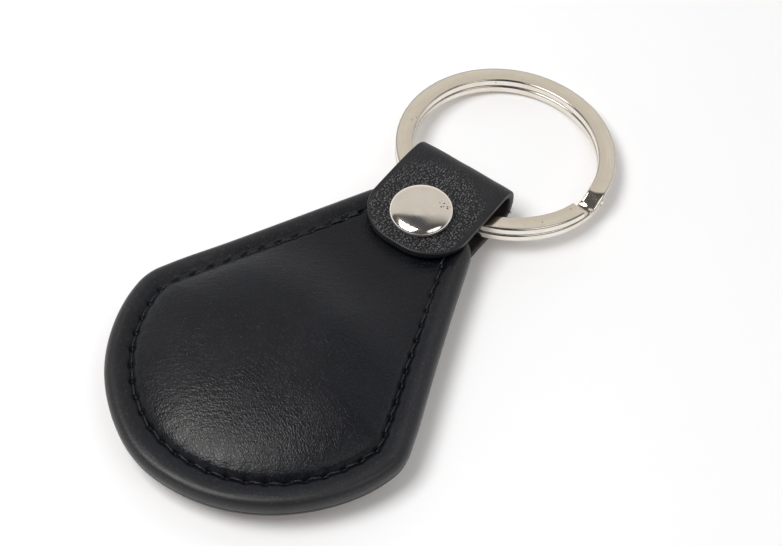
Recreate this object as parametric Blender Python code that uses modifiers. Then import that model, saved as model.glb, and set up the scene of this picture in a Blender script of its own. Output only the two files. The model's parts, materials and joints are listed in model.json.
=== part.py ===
"""A leather key fob with a riveted strap loop and a split ring.

The fob is a teardrop of two puffed leather covers over foam, a stiff board and
a contactless tag. A folded leather strap grips its neck, held by a double-cap
rivet, and the strap's loop carries a split ring of flat wire.

Lengths are in metres and +Z is up. The fob lies on its rear cover on z = 0, its
neck and ring towards +Y. The origin is under the middle of the overall box.
"""
import math

import bmesh
import bpy
import numpy as np
from mathutils import Matrix

MM = 0.001

# Outline of the fob, seen from above
BOTTOM_RADIUS = 21.8 * MM
CORNER_RADIUS = 6.6 * MM
SIDE_LEAN = math.radians(24.3)
NECK_HALF_WIDTH = 8.57 * MM
NECK_CORNER_RADIUS = 4.5 * MM
RIVET_DISTANCE = 28.04 * MM
NECK_REACH = 2.01 * MM

# Layers of the fob, from the rear cover to the front cover
REAR_PUFF = 2.8 * MM
REAR_LEATHER = 0.7 * MM
BOARD_THICKNESS = 0.55 * MM
FRONT_LEATHER = 0.8 * MM
FRONT_PUFF = 3.1 * MM
LAYER_GAP = 0.2 * MM
BOARD_EDGE_GAP = 0.4 * MM
CHANNEL_GAP = 0.3 * MM

# Rolled edge and sewn seam of the covers
EDGE_ROLL = 1.25 * MM
SEAM_INSET = 3.25 * MM
SEAM_DEPTH = 0.35 * MM
REAR_EDGE_SETBACK = 0.2 * MM

# Puffs: where they fade out before the neck, and how square and steep their crowns are
PUFF_END_SETBACK = 8.34 * MM
PUFF_CENTRE = 1.5 * MM
FRONT_FADE = 12.0 * MM
REAR_FADE = 7.0 * MM
REST_SHARE = 0.6
FRONT_SQUARENESS = 2.6
FRONT_STEEPNESS = 0.62
REAR_SQUARENESS = 2.2
REAR_STEEPNESS = 0.7

# Foam pads that fill the puffs
PAD_SETBACK = 1.9 * MM
PAD_NECK_SETBACK = 4.5 * MM
PAD_GAP = 0.25 * MM

# Contactless tag inside the fob
TAG_RADIUS = 11.5 * MM
TAG_THICKNESS = 1.0 * MM
TAG_RECESS = 0.5 * MM
COIL_RADIUS = 9.0 * MM
COIL_WIDTH = 1.9 * MM
CHIP_SIDE = 3.0 * MM
TAG_GAP = 0.2 * MM

# Leather strap folded round the ring
STRAP_WIDTH = 14.9 * MM
STRAP_THICKNESS = 1.15 * MM
STRAP_TIP_REACH = 5.84 * MM
STRAP_TIP_DEPTH = 4.6 * MM
STRAP_TIP_SHARE = 0.4
LOOP_REACH = 11.06 * MM
FOLD_LEAN = 0.2
FOLD_SAG = 0.45 * MM
LEG_GAP = 0.25 * MM
STRAP_TURN = math.radians(4.2)

# Double-cap rivet
CAP_RADIUS = 4.2 * MM
CAP_WALL = 0.3 * MM
CAP_EDGE_SHARE = 0.3
CAP_SHOULDER = math.radians(84.0)
FRONT_CAP_HEIGHT = 1.38 * MM
GROUND_GAP = 0.1 * MM
BARREL_RADIUS = 1.1 * MM
BARREL_WALL = 0.3 * MM
POST_RADIUS = 0.65 * MM
POST_CHAMFER = 0.2 * MM
RIVET_FLANGE_RADIUS = 3.2 * MM
RIVET_SHEET = 0.25 * MM
RIVET_GAP = 0.12 * MM
HOLE_GAP = 0.2 * MM

# Split ring of flat wire, wound twice
RING_RADIUS = 15.1 * MM
WIRE_WIDTH = 2.05 * MM
WIRE_THICKNESS = 1.09 * MM
WIRE_EDGE = 0.3 * MM
COIL_GAP = 0.42 * MM
RING_GAP = 0.77 * MM
RING_PLAY = 0.4 * MM
RING_SHIFT = 1.39 * MM
RING_END_ANGLE = math.radians(-12.6)
RAMP_START = math.radians(343.5)
RAMP_TURN = math.radians(11.0)
WIRE_TURN = math.radians(699.0)

# Heights of the layers above the surface the fob lies on
FLANGE_UNDERSIDE = REAR_PUFF
BOARD_UNDERSIDE = FLANGE_UNDERSIDE + REAR_LEATHER + LAYER_GAP
BOARD_TOP = BOARD_UNDERSIDE + BOARD_THICKNESS
SEAM_HEIGHT = BOARD_TOP + CHANNEL_GAP + FRONT_LEATHER
FLANGE_TOP = SEAM_HEIGHT + SEAM_DEPTH
REAR_LEG_TOP = FLANGE_UNDERSIDE - LEG_GAP
REAR_LEG_UNDERSIDE = REAR_LEG_TOP - STRAP_THICKNESS
FRONT_LEG_UNDERSIDE = FLANGE_TOP + LEG_GAP
FRONT_LEG_TOP = FRONT_LEG_UNDERSIDE + STRAP_THICKNESS

# Split ring: half its height, the radius of its wire's middle, its hinge in the strap's tunnel
RING_HALF_HEIGHT = WIRE_THICKNESS + COIL_GAP / 2
WIRE_RADIUS = RING_RADIUS - WIRE_WIDTH / 2
HINGE_REACH = NECK_REACH + RING_GAP + WIRE_WIDTH / 2
HINGE_HEIGHT = FRONT_LEG_UNDERSIDE - RING_PLAY - RING_HALF_HEIGHT
LEAN_ARM = WIRE_RADIUS + RING_RADIUS
RING_LEAN = (math.asin(HINGE_HEIGHT / math.hypot(LEAN_ARM, RING_HALF_HEIGHT))
             - math.atan2(RING_HALF_HEIGHT, LEAN_ARM))


def ring_far_reach():
    """How far the ring reaches past the centre of the fob's round end, along +Y."""
    centre_x = RING_SHIFT
    centre_y = HINGE_REACH + WIRE_RADIUS * math.cos(RING_LEAN)
    turned_y = centre_x * math.sin(STRAP_TURN) + centre_y * math.cos(STRAP_TURN)
    tilt = math.sin(RING_LEAN) * math.cos(STRAP_TURN)
    return RIVET_DISTANCE + turned_y + RING_RADIUS * math.sqrt(1 - tilt ** 2) + RING_HALF_HEIGHT * tilt


# Places along Y: the round end's centre, the rivet's axis and where the puff fades out
ROUND_END_Y = (BOTTOM_RADIUS - ring_far_reach()) / 2
RIVET_Y = ROUND_END_Y + RIVET_DISTANCE
NECK_END = RIVET_DISTANCE + NECK_REACH
PUFF_END = RIVET_DISTANCE - PUFF_END_SETBACK
TAG_FLOOR = BOARD_TOP + LAYER_GAP

# Mesh fineness: steps round the outline and the turned pieces, and the shares of the way
# from the middle of a puff to its seam at which its rings lie
BOTTOM_STEPS = 9
CORNER_STEPS = 3
SIDE_STEPS = 7
NECK_STEPS = 3
END_STEPS = 2
ROLL_STEPS = 2
TURNED_STEPS = 32
CAP_STEPS = 6
FOLD_STEPS = 12
TIP_STEPS = 5
STRAP_COLUMNS = 6
RING_STEPS = 72
RAMP_STEPS = 6
FRONT_SHARES = (1, 0.975, 0.92, 0.83, 0.7, 0.5, 0.25)
REAR_SHARES = (1, 0.97, 0.9, 0.8, 0.7, REST_SHARE)
PAD_SHARES = (1, 0.93, 0.82, 0.66, 0.4)
SHARP_ANGLE = math.radians(35.0)


def arc_points(centre, radius, start, end, steps):
    """Points on an arc from start to end angle, both ends kept."""
    angles = np.linspace(start, end, steps + 1)
    return np.stack([centre[0] + radius * np.cos(angles), centre[1] + radius * np.sin(angles)], 1)


def teardrop(inset, end):
    """The fob's outline, moved in by inset: a round bottom arc, rounded corners,
    straight sides leaning in to the neck, and a square neck end at y = end - inset."""
    side_normal = np.array([math.cos(SIDE_LEAN), math.sin(SIDE_LEAN)])
    side_offset = side_normal @ [NECK_HALF_WIDTH, RIVET_DISTANCE] - inset
    radius = BOTTOM_RADIUS - inset
    corner = max(CORNER_RADIUS - inset, CORNER_RADIUS / 4)
    neck_corner = max(NECK_CORNER_RADIUS - inset, NECK_CORNER_RADIUS / 4)
    down_side = np.array([math.sin(SIDE_LEAN), -math.cos(SIDE_LEAN)])
    along = math.sqrt((radius - corner) ** 2 - (side_offset - corner) ** 2)
    corner_centre = (side_offset - corner) * side_normal + along * down_side
    corner_start = math.atan2(corner_centre[1], corner_centre[0])
    neck_y = end - inset - neck_corner
    neck_x = (side_offset - neck_corner - neck_y * side_normal[1]) / side_normal[0]
    bottom = arc_points((0, 0), radius, -math.pi / 2, corner_start, BOTTOM_STEPS)
    lower = arc_points(corner_centre, corner, corner_start, SIDE_LEAN, CORNER_STEPS)
    upper = arc_points((neck_x, neck_y), neck_corner, SIDE_LEAN, math.pi / 2, NECK_STEPS)
    shares = np.linspace(0, 1, SIDE_STEPS + 1)[1:-1, None]
    side = lower[-1] + shares * (upper[0] - lower[-1])
    top = np.stack([np.linspace(neck_x, 0, END_STEPS + 1)[1:], np.full(END_STEPS, end - inset)], 1)
    half = np.concatenate([bottom, lower[1:], side, upper, top])
    mirrored = half[-2:0:-1] * [-1, 1]
    return np.concatenate([half, mirrored])


def smooth_step(value):
    """Rises from 0 to 1 with level ends as the value goes from 0 to 1."""
    value = np.clip(value, 0, 1)
    return value * value * (3 - 2 * value)


def front_crown(share):
    """Height share of the front puff: steep at its seam (share 1), gently round in the middle."""
    return (1 - share ** FRONT_SQUARENESS) ** FRONT_STEEPNESS


def rear_crown(share):
    """Height share of the rear puff, flat inside REST_SHARE so that the fob lies steady."""
    fall = np.clip((share - REST_SHARE) / (1 - REST_SHARE), 0, 1)
    return (1 - fall ** REAR_SQUARENESS) ** REAR_STEEPNESS


def lay_ring(points, height):
    """A ring of 3-D points from an outline; height is one value or one for each point."""
    z = np.broadcast_to(height, len(points))
    return np.column_stack([points[:, 0], points[:, 1] + ROUND_END_Y, z])


def seam_outline():
    """The line where a puff meets its flange, closed before the neck."""
    return teardrop(SEAM_INSET, PUFF_END + SEAM_INSET)


def about_centre(points):
    """Distance and direction of outline points from the middle of the puff."""
    away = points - np.array([0, PUFF_CENTRE])
    return np.hypot(away[:, 0], away[:, 1]), np.arctan2(away[:, 1], away[:, 0])


def puff_height(points, rise, crown, fade, wall):
    """Height of a puff above its flange at outline points, moved in by a wall's thickness.
    The crown takes each point's share of the way to the seam, and fades out at the neck."""
    seam_reach, seam_angle = about_centre(seam_outline())
    order = np.argsort(seam_angle)
    reach, angle = about_centre(points)
    share = reach / np.interp(angle, seam_angle[order], seam_reach[order], period=math.tau)
    share = np.clip(share + wall / seam_reach.min(), 0, 1)
    neck_fade = smooth_step((PUFF_END - wall - points[:, 1]) / fade)
    return rise * crown(share) * neck_fade


def shrunk(outline, share):
    """An outline drawn in towards the middle of the puff."""
    centre = np.array([0, PUFF_CENTRE])
    return centre + share * (outline - centre)


def puff_rings(outline, shares, base, side, puff, wall=0.0, gap=0.0):
    """Rings of a puff over an outline, one for each share; side is +1 upwards, -1 downwards.
    puff holds its rise, crown and fade; wall and gap keep an inner piece clear of its cover."""
    rings = []
    for share in shares:
        points = shrunk(outline, share)
        rings.append(lay_ring(points, base + side * (puff_height(points, *puff, wall) - gap)))
    return rings


FRONT_PUFF_FORM = (FRONT_PUFF, front_crown, FRONT_FADE)
REAR_PUFF_FORM = (REAR_PUFF, rear_crown, REAR_FADE)


def material(name, colour, roughness, metallic=0.0):
    made = bpy.data.materials.new(name)
    made.use_nodes = True
    shader = made.node_tree.nodes["Principled BSDF"]
    shader.inputs["Base Color"].default_value = (*colour, 1.0)
    shader.inputs["Roughness"].default_value = roughness
    shader.inputs["Metallic"].default_value = metallic
    return made


def black_leather():
    return material("black_leather", (0.028, 0.028, 0.031), 0.45)


def strap_leather():
    return material("strap_leather", (0.026, 0.026, 0.028), 0.55)


def foam():
    return material("foam", (0.55, 0.55, 0.52), 0.95)


def fibre_board():
    return material("fibre_board", (0.2, 0.17, 0.13), 0.8)


def tag_plastic():
    return material("tag_plastic", (0.75, 0.75, 0.72), 0.4)


def copper():
    return material("copper", (0.72, 0.36, 0.2), 0.3, 1.0)


def chip_resin():
    return material("chip_resin", (0.015, 0.015, 0.015), 0.35)


def nickel():
    return material("nickel", (0.72, 0.68, 0.62), 0.12, 1.0)


def steel():
    return material("steel", (0.66, 0.62, 0.56), 0.3, 1.0)


def polished_steel():
    return material("polished_steel", (0.66, 0.62, 0.56), 0.2, 1.0)


def link(thing, collection, finish=None):
    """Puts an object in a collection and gives it its material."""
    collection.objects.link(thing)
    if finish:
        thing.data.materials.append(finish)
    return thing


def mesh_object(name, built, collection, finish=None):
    """Makes an object of a bmesh, shaded smooth except across sharp edges."""
    mesh = bpy.data.meshes.new(name)
    built.to_mesh(mesh)
    built.free()
    mesh.shade_smooth()
    mesh.set_sharp_from_angle(angle=SHARP_ANGLE)
    return link(bpy.data.objects.new(name, mesh), collection, finish)


def loft(rings, start_pole=None, end_pole=None):
    """A skin through rings of equal count, with a fan to a pole where one is given.
    Rings run counter-clockwise seen from +Z, so a skin that goes inwards and up faces up."""
    built = bmesh.new()
    rows = [[built.verts.new(point) for point in ring] for ring in rings]
    count = len(rows[0])
    for lower, upper in zip(rows, rows[1:]):
        for i in range(count):
            j = (i + 1) % count
            built.faces.new((lower[i], lower[j], upper[j], upper[i]))
    for pole, row in ((start_pole, rows[0]), (end_pole, rows[-1])):
        if pole is None:
            continue
        tip = built.verts.new(pole)
        for i in range(count):
            j = (i + 1) % count
            face = (row[i], row[j], tip) if pole is end_pole else (row[j], row[i], tip)
            built.faces.new(face)
    return built


def solidify(thing, thickness, offset=-1):
    """Gives an open skin its wall: behind its faces, or with offset 0 on both sides of them."""
    wall = thing.modifiers.new("wall", "SOLIDIFY")
    wall.thickness = thickness
    wall.offset = offset
    wall.use_even_offset = True
    return thing


def cut(thing, cutter):
    """Takes the cutter's shape out of an object."""
    hole = thing.modifiers.new(cutter.name, "BOOLEAN")
    hole.operation = "DIFFERENCE"
    hole.solver = "EXACT"
    hole.object = cutter
    return thing


def cylinder_cutter(name, radius, low, high, x, y, collection):
    """An upright cylinder that only cuts."""
    built = bmesh.new()
    bmesh.ops.create_cone(built, cap_ends=True, segments=TURNED_STEPS, radius1=radius, radius2=radius,
                          depth=high - low)
    cutter = mesh_object(name, built, collection)
    cutter.location = (x, y, (low + high) / 2)
    cutter.display_type = "WIRE"
    cutter.hide_render = True
    return cutter


def turned(name, profile, collection, finish, steps=TURNED_STEPS):
    """A solid turned about Z: the profile is (radius, height) points, down the outer side."""
    built = bmesh.new()
    verts = [built.verts.new((radius, 0, height)) for radius, height in profile]
    for a, b in zip(verts, verts[1:]):
        built.edges.new((a, b))
    made = mesh_object(name, built, collection, finish)
    screw = made.modifiers.new("turn", "SCREW")
    screw.axis = "Z"
    screw.angle = math.tau
    screw.steps = steps
    screw.render_steps = steps
    screw.use_merge_vertices = True
    screw.merge_threshold = 0.00001
    screw.use_smooth_shade = True
    return made


def make_front_cover(collection, rivet_hole):
    """The front leather: a rolled edge wall, a flange, the seam's channel and the puff."""
    rings = [lay_ring(teardrop(0, NECK_END), BOARD_UNDERSIDE)]
    for angle in np.linspace(0, math.pi / 2, ROLL_STEPS + 1):
        inset = EDGE_ROLL * (1 - math.cos(angle))
        rings.append(lay_ring(teardrop(inset, NECK_END), FLANGE_TOP - EDGE_ROLL * (1 - math.sin(angle))))
    flange_middle = (EDGE_ROLL + SEAM_INSET) / 2
    rings.append(lay_ring(teardrop(flange_middle, NECK_END), FLANGE_TOP - SEAM_DEPTH / 3))
    rings += puff_rings(seam_outline(), FRONT_SHARES, SEAM_HEIGHT, 1, FRONT_PUFF_FORM)
    pole = (0, ROUND_END_Y + PUFF_CENTRE, SEAM_HEIGHT + FRONT_PUFF)
    cover = mesh_object("front_cover", loft(rings, end_pole=pole), collection, black_leather())
    return cut(solidify(cover, FRONT_LEATHER), rivet_hole)


def make_rear_cover(collection, rivet_hole):
    """The rear leather: a flat flange and a puff with a flat middle that the fob lies on."""
    rings = [lay_ring(teardrop(REAR_EDGE_SETBACK, NECK_END), FLANGE_UNDERSIDE)]
    flange_middle = (REAR_EDGE_SETBACK + SEAM_INSET) / 2
    rings.append(lay_ring(teardrop(flange_middle, NECK_END), FLANGE_UNDERSIDE))
    rings += puff_rings(seam_outline(), REAR_SHARES, FLANGE_UNDERSIDE, -1, REAR_PUFF_FORM)
    rings = [ring[::-1] for ring in rings]
    pole = (0, ROUND_END_Y + PUFF_CENTRE, 0)
    cover = mesh_object("rear_cover", loft(rings, end_pole=pole), collection, black_leather())
    return cut(solidify(cover, REAR_LEATHER), rivet_hole)


def make_pad(name, side, base, puff, leather, collection):
    """A foam pad that fills a puff, clear of its cover: side is +1 for the front, -1 for the rear."""
    outline = teardrop(SEAM_INSET + PAD_SETBACK, PUFF_END + SEAM_INSET - PAD_NECK_SETBACK)
    rings = [lay_ring(outline, base)]
    rings += puff_rings(outline, PAD_SHARES, base, side, puff, leather, PAD_GAP)
    rise = puff[0] - PAD_GAP
    floor = (0, ROUND_END_Y + PUFF_CENTRE, base)
    top = (0, ROUND_END_Y + PUFF_CENTRE, base + side * rise)
    if side < 0:
        rings = [ring[::-1] for ring in rings]
    return mesh_object(name, loft(rings, start_pole=floor, end_pole=top), collection, foam())


def make_core_board(collection, rivet_hole):
    """The stiff board between the covers, cut to the outline inside the rolled edge."""
    outline = teardrop(FRONT_LEATHER + BOARD_EDGE_GAP, NECK_END)
    curve = bpy.data.curves.new("core_board", "CURVE")
    curve.dimensions = "2D"
    curve.fill_mode = "BOTH"
    curve.extrude = BOARD_THICKNESS / 2
    spline = curve.splines.new("POLY")
    spline.points.add(len(outline) - 1)
    for point, (x, y) in zip(spline.points, outline):
        point.co = (x, y + ROUND_END_Y, 0, 1)
    spline.use_cyclic_u = True
    sketch = link(bpy.data.objects.new("core_board_sketch", curve), collection)
    sketch.location = (0, 0, (BOARD_UNDERSIDE + BOARD_TOP) / 2)
    board = mesh_from_curve("core_board", sketch, collection, fibre_board())
    return cut(board, rivet_hole)


def mesh_from_curve(name, source, collection, finish):
    """Turns a curve object into a welded mesh object in the same place."""
    bpy.context.view_layer.update()
    evaluated = source.evaluated_get(bpy.context.evaluated_depsgraph_get())
    mesh = bpy.data.meshes.new_from_object(evaluated)
    mesh.name = name
    built = bmesh.new()
    built.from_mesh(mesh)
    bmesh.ops.remove_doubles(built, verts=built.verts, dist=0.000001)
    bmesh.ops.recalc_face_normals(built, faces=built.faces)
    built.to_mesh(mesh)
    built.free()
    mesh.materials.clear()
    mesh.shade_smooth()
    mesh.set_sharp_from_angle(angle=SHARP_ANGLE)
    made = link(bpy.data.objects.new(name, mesh), collection, finish)
    made.matrix_world = source.matrix_world
    bpy.data.objects.remove(source)
    return made


def make_tag(collection):
    """The tag's plastic disc, with a round recess for the chip and a groove for the coil."""
    floor = TAG_FLOOR
    top = floor + TAG_THICKNESS
    recess = top - TAG_RECESS
    coil_inner = COIL_RADIUS - COIL_WIDTH / 2
    coil_outer = COIL_RADIUS + COIL_WIDTH / 2
    chip_room = CHIP_SIDE / math.sqrt(2) + TAG_GAP
    groove_inner = coil_inner - TAG_GAP
    groove_outer = coil_outer + TAG_GAP
    profile = [(0, recess), (chip_room, recess), (chip_room, top), (groove_inner, top),
               (groove_inner, recess), (groove_outer, recess), (groove_outer, top), (TAG_RADIUS, top),
               (TAG_RADIUS, floor), (0, floor)]
    disc = turned("tag_disc", profile, collection, tag_plastic())
    low = recess + TAG_GAP
    section = [(coil_inner, top), (coil_outer, top), (coil_outer, low), (coil_inner, low), (coil_inner, top)]
    coil = turned("antenna_coil", section, collection, copper())
    built = bmesh.new()
    bmesh.ops.create_cube(built, size=1)
    bmesh.ops.scale(built, vec=(CHIP_SIDE, CHIP_SIDE, top - low), verts=built.verts)
    chip = mesh_object("chip", built, collection, chip_resin())
    for piece in (disc, coil, chip):
        piece.location = (0, ROUND_END_Y + PUFF_CENTRE, 0)
    chip.location.z = (low + top) / 2


def strap_path():
    """The middle line of the strap, seen from its side, as (y, z) from the rivet's axis:
    the front leg from its tip, the fold round the ring, and the rear leg back to its tip.
    The fold's upper half leans out, and its lower half sags to leave the ring room."""
    front = (FRONT_LEG_TOP + FRONT_LEG_UNDERSIDE) / 2
    rear = (REAR_LEG_TOP + REAR_LEG_UNDERSIDE) / 2
    radius = (front - rear) / 2
    middle = (front + rear) / 2
    fold_y = LOOP_REACH - STRAP_THICKNESS / 2 - radius
    fold = []
    for angle in np.linspace(math.pi / 2, -math.pi / 2, FOLD_STEPS + 1):
        rise = math.sin(angle)
        lean = FOLD_LEAN * radius * max(rise, 0)
        sag = FOLD_SAG * min(rise, 0)
        fold.append((fold_y + radius * math.cos(angle) + lean, middle + radius * rise + sag))
    from_tip = STRAP_TIP_DEPTH * (1 - np.cos(np.linspace(0, math.pi / 2, TIP_STEPS + 1)))
    front_tip = [(step - STRAP_TIP_REACH, front) for step in from_tip]
    rear_tip = [(step - STRAP_TIP_REACH, rear) for step in from_tip[::-1]]
    cap_edge = (CAP_RADIUS + RIVET_GAP, rear)
    return np.array(front_tip + fold + [cap_edge] + rear_tip)


def strap_half_width(path):
    """Half the strap's width at each path point: full, but blunt and round at both tips."""
    from_tip = np.clip(path[:, 0] + STRAP_TIP_REACH, 0, STRAP_TIP_DEPTH)
    share = 1 - from_tip / STRAP_TIP_DEPTH
    blunt = 1 - (1 - STRAP_TIP_SHARE) * (1 - np.sqrt(1 - share ** 2))
    return STRAP_WIDTH / 2 * blunt


def make_strap(collection, rivet_hole):
    """The strap: one sheet of leather along its path, given its thickness and punched."""
    path = strap_path()
    built = bmesh.new()
    shares = np.linspace(-1, 1, STRAP_COLUMNS + 1)
    rows = []
    for (y, z), half_width in zip(path, strap_half_width(path)):
        rows.append([built.verts.new((half_width * share, y, z)) for share in shares])
    for upper, lower in zip(rows, rows[1:]):
        for i in range(STRAP_COLUMNS):
            built.faces.new((upper[i], upper[i + 1], lower[i + 1], lower[i]))
    strap = mesh_object("strap", built, collection, strap_leather())
    return cut(solidify(strap, STRAP_THICKNESS, offset=0), rivet_hole)


def cap_profile(rim, crown):
    """A rivet cap as a thin dome: from the crown's middle out to a rounded rim and back inside.
    rim and crown are heights; the cap opens towards the rim."""
    sign = 1 if crown > rim else -1
    height = abs(crown - rim)
    edge = CAP_EDGE_SHARE * height
    inner_radius = CAP_RADIUS - CAP_WALL

    def dome(radius, rise):
        return [(radius * math.sin(angle), rim + sign * (edge + rise * math.cos(angle)))
                for angle in np.linspace(0, CAP_SHOULDER, CAP_STEPS + 1)]

    outer = dome(CAP_RADIUS, height - edge)
    rolled_rim = [(CAP_RADIUS, rim + sign * edge), (CAP_RADIUS, rim + sign * edge / 3),
                  (CAP_RADIUS - edge / 2, rim), (inner_radius - edge / 2, rim)]
    inner = dome(inner_radius, height - edge - CAP_WALL)
    profile = outer + rolled_rim + inner[::-1]
    return profile if sign > 0 else profile[::-1]


def make_rivet(collection):
    """The four pieces of a double-cap rivet: two thin caps, the barrel under the front cap
    and the post that stands on the rear cap and is driven into the barrel."""
    front_rim = FRONT_LEG_TOP + RIVET_GAP
    front_top = FRONT_LEG_TOP + FRONT_CAP_HEIGHT
    rear_rim = REAR_LEG_UNDERSIDE - RIVET_GAP
    front_cap = turned("rivet_front_cap", cap_profile(front_rim, front_top), collection, nickel())
    rear_cap = turned("rivet_rear_cap", cap_profile(rear_rim, GROUND_GAP), collection, nickel())
    sheet_top = front_rim + RIVET_SHEET
    sheet_low = rear_rim - RIVET_SHEET
    bore = BARREL_RADIUS - BARREL_WALL
    barrel = turned("rivet_barrel", [
        (bore, sheet_top), (RIVET_FLANGE_RADIUS, sheet_top), (RIVET_FLANGE_RADIUS, front_rim),
        (BARREL_RADIUS, front_rim), (BARREL_RADIUS, FLANGE_UNDERSIDE), (bore, FLANGE_UNDERSIDE),
        (bore, sheet_top)], collection, steel())
    post = turned("rivet_post", [
        (0, sheet_top), (POST_RADIUS - POST_CHAMFER, sheet_top), (POST_RADIUS, sheet_top - POST_CHAMFER),
        (POST_RADIUS, rear_rim), (RIVET_FLANGE_RADIUS, rear_rim), (RIVET_FLANGE_RADIUS, sheet_low),
        (0, sheet_low)], collection, steel())
    return front_cap, barrel, post, rear_cap


def wire_height(turn):
    """Height of the wire's middle after a turn in radians: upper coil, ramp, lower coil."""
    step = WIRE_THICKNESS + COIL_GAP
    return step / 2 - step * smooth_step((turn - RAMP_START) / RAMP_TURN)


def wire_turns():
    """The turns at which the ring's path has a point: even steps, finer on the ramp."""
    steps = round(WIRE_TURN / math.tau * RING_STEPS)
    even = np.linspace(0, WIRE_TURN, steps + 1)
    off_ramp = np.abs(even - RAMP_START - RAMP_TURN / 2) > RAMP_TURN / 2 + WIRE_TURN / steps / 2
    ramp = np.linspace(RAMP_START, RAMP_START + RAMP_TURN, RAMP_STEPS + 1)
    return np.sort(np.concatenate([even[off_ramp], ramp]))


def on_wire(angle, across, height):
    """A point of the ring: across is its distance out from the middle of the wire."""
    radius = WIRE_RADIUS + across
    x = RING_SHIFT + radius * np.cos(angle)
    y = WIRE_RADIUS + radius * np.sin(angle)
    return np.stack(np.broadcast_arrays(x, y, height), -1)


def wire_section(collection):
    """The wire's section as a closed 2-D curve: flat, with rounded edges."""
    wide = WIRE_WIDTH / 2 - WIRE_EDGE
    high = WIRE_THICKNESS / 2 - WIRE_EDGE
    points = []
    for quarter, (sx, sy) in enumerate(((1, 1), (-1, 1), (-1, -1), (1, -1))):
        start = quarter * math.pi / 2
        points.append(arc_points((sx * wide, sy * high), WIRE_EDGE, start, start + math.pi / 2, 2))
    points = np.concatenate(points)
    curve = bpy.data.curves.new("wire_section", "CURVE")
    curve.dimensions = "2D"
    spline = curve.splines.new("POLY")
    spline.points.add(len(points) - 1)
    for point, (x, y) in zip(spline.points, points):
        point.co = (x, y, 0, 1)
    spline.use_cyclic_u = True
    section = link(bpy.data.objects.new("wire_section", curve), collection)
    section.hide_render = True
    section.display_type = "WIRE"
    return section


def make_split_ring(collection, cutters):
    """Flat wire wound twice: the upper coil, a short ramp down and the lower coil, with square
    ends. Its origin is on the hinge line, in the middle of the wire."""
    turns = wire_turns()
    points = on_wire(RING_END_ANGLE - turns, 0, wire_height(turns))
    curve = bpy.data.curves.new("split_ring", "CURVE")
    curve.dimensions = "3D"
    curve.twist_mode = "Z_UP"
    curve.bevel_mode = "OBJECT"
    curve.bevel_object = wire_section(cutters)
    curve.use_fill_caps = True
    spline = curve.splines.new("POLY")
    spline.points.add(len(points) - 1)
    for point, (px, py, pz) in zip(spline.points, points):
        point.co = (px, py, pz, 1)
    sketch = link(bpy.data.objects.new("split_ring_path", curve), collection)
    ring = mesh_from_curve("split_ring", sketch, collection, polished_steel())
    print("least gap between the ring's coils, mm:", round(least_coil_gap(turns) / MM, 3))
    return ring


def least_coil_gap(turns):
    """Least distance between points on the wire's faces that lie over a third of a turn apart."""
    faces = []
    for across in np.linspace(-WIRE_WIDTH / 2, WIRE_WIDTH / 2, 5):
        for side in (-WIRE_THICKNESS / 2, WIRE_THICKNESS / 2):
            faces.append(on_wire(RING_END_ANGLE - turns, across, wire_height(turns) + side))
    faces = np.stack(faces)
    least = math.inf
    for place, turn in enumerate(turns):
        others = faces[:, turns > turn + math.tau / 3].reshape(-1, 3)
        if len(others):
            gaps = np.linalg.norm(others[None] - faces[:, place][:, None], axis=2)
            least = min(least, gaps.min())
    return least


def clear_scene():
    for thing in list(bpy.data.objects):
        bpy.data.objects.remove(thing)


def new_collection(name):
    made = bpy.data.collections.new(name)
    bpy.context.scene.collection.children.link(made)
    return made


def pivot(name, collection, location, matrix=None, parent=None):
    """An empty on a joint's axis, which carries the pieces that move about it."""
    made = bpy.data.objects.new(name, None)
    collection.objects.link(made)
    made.parent = parent
    made.matrix_local = Matrix.Translation(location) @ (matrix or Matrix())
    return made


def build():
    clear_scene()
    parts = new_collection("leather_key_fob")
    cutters = new_collection("cutters")
    hole_radius = BARREL_RADIUS + HOLE_GAP
    fob_hole = cylinder_cutter("fob_rivet_hole", hole_radius, 0, FRONT_LEG_TOP, 0, RIVET_Y, cutters)
    strap_hole = cylinder_cutter("strap_rivet_hole", hole_radius, 0, FRONT_LEG_TOP + STRAP_THICKNESS, 0, 0,
                                 cutters)
    make_front_cover(parts, fob_hole)
    make_rear_cover(parts, fob_hole)
    make_core_board(parts, fob_hole)
    front_pad = make_pad("front_pad", 1, BOARD_TOP + LAYER_GAP, FRONT_PUFF_FORM, FRONT_LEATHER, parts)
    tag_room = cylinder_cutter("tag_room", TAG_RADIUS + TAG_GAP, BOARD_TOP - LAYER_GAP,
                               TAG_FLOOR + TAG_THICKNESS + TAG_GAP, 0, ROUND_END_Y + PUFF_CENTRE, cutters)
    cut(front_pad, tag_room)
    make_pad("rear_pad", -1, BOARD_UNDERSIDE - LAYER_GAP, REAR_PUFF_FORM, REAR_LEATHER, parts)
    make_tag(parts)
    strap_pivot = pivot("strap_pivot", parts, (0, RIVET_Y, 0), Matrix.Rotation(STRAP_TURN, 4, "Z"))
    strap = make_strap(parts, strap_hole)
    strap.parent = strap_pivot
    strap_hole.parent = strap_pivot
    for piece in make_rivet(parts):
        piece.parent = strap_pivot
    ring_pivot = pivot("ring_pivot", parts, (0, HINGE_REACH, HINGE_HEIGHT),
                       Matrix.Rotation(-RING_LEAN, 4, "X"), strap_pivot)
    make_split_ring(parts, cutters).parent = ring_pivot
    bpy.context.view_layer.update()


build()
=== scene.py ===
# %% [markdown]
# # A leather key fob with a riveted strap loop and a split ring
# The fob is two puffed covers of black leather, sewn together round a stiff board, foam and a contactless tag.
# A folded strap grips its neck under a domed rivet and carries a split ring of flat wire.
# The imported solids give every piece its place, so we load them first and keep the size of their box.
# Each step after that makes one real piece as a surface worked out with numpy, and gives it a finish of nodes.

# %% Load the fixed frame
import json
import math
from functools import partial, reduce

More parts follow.
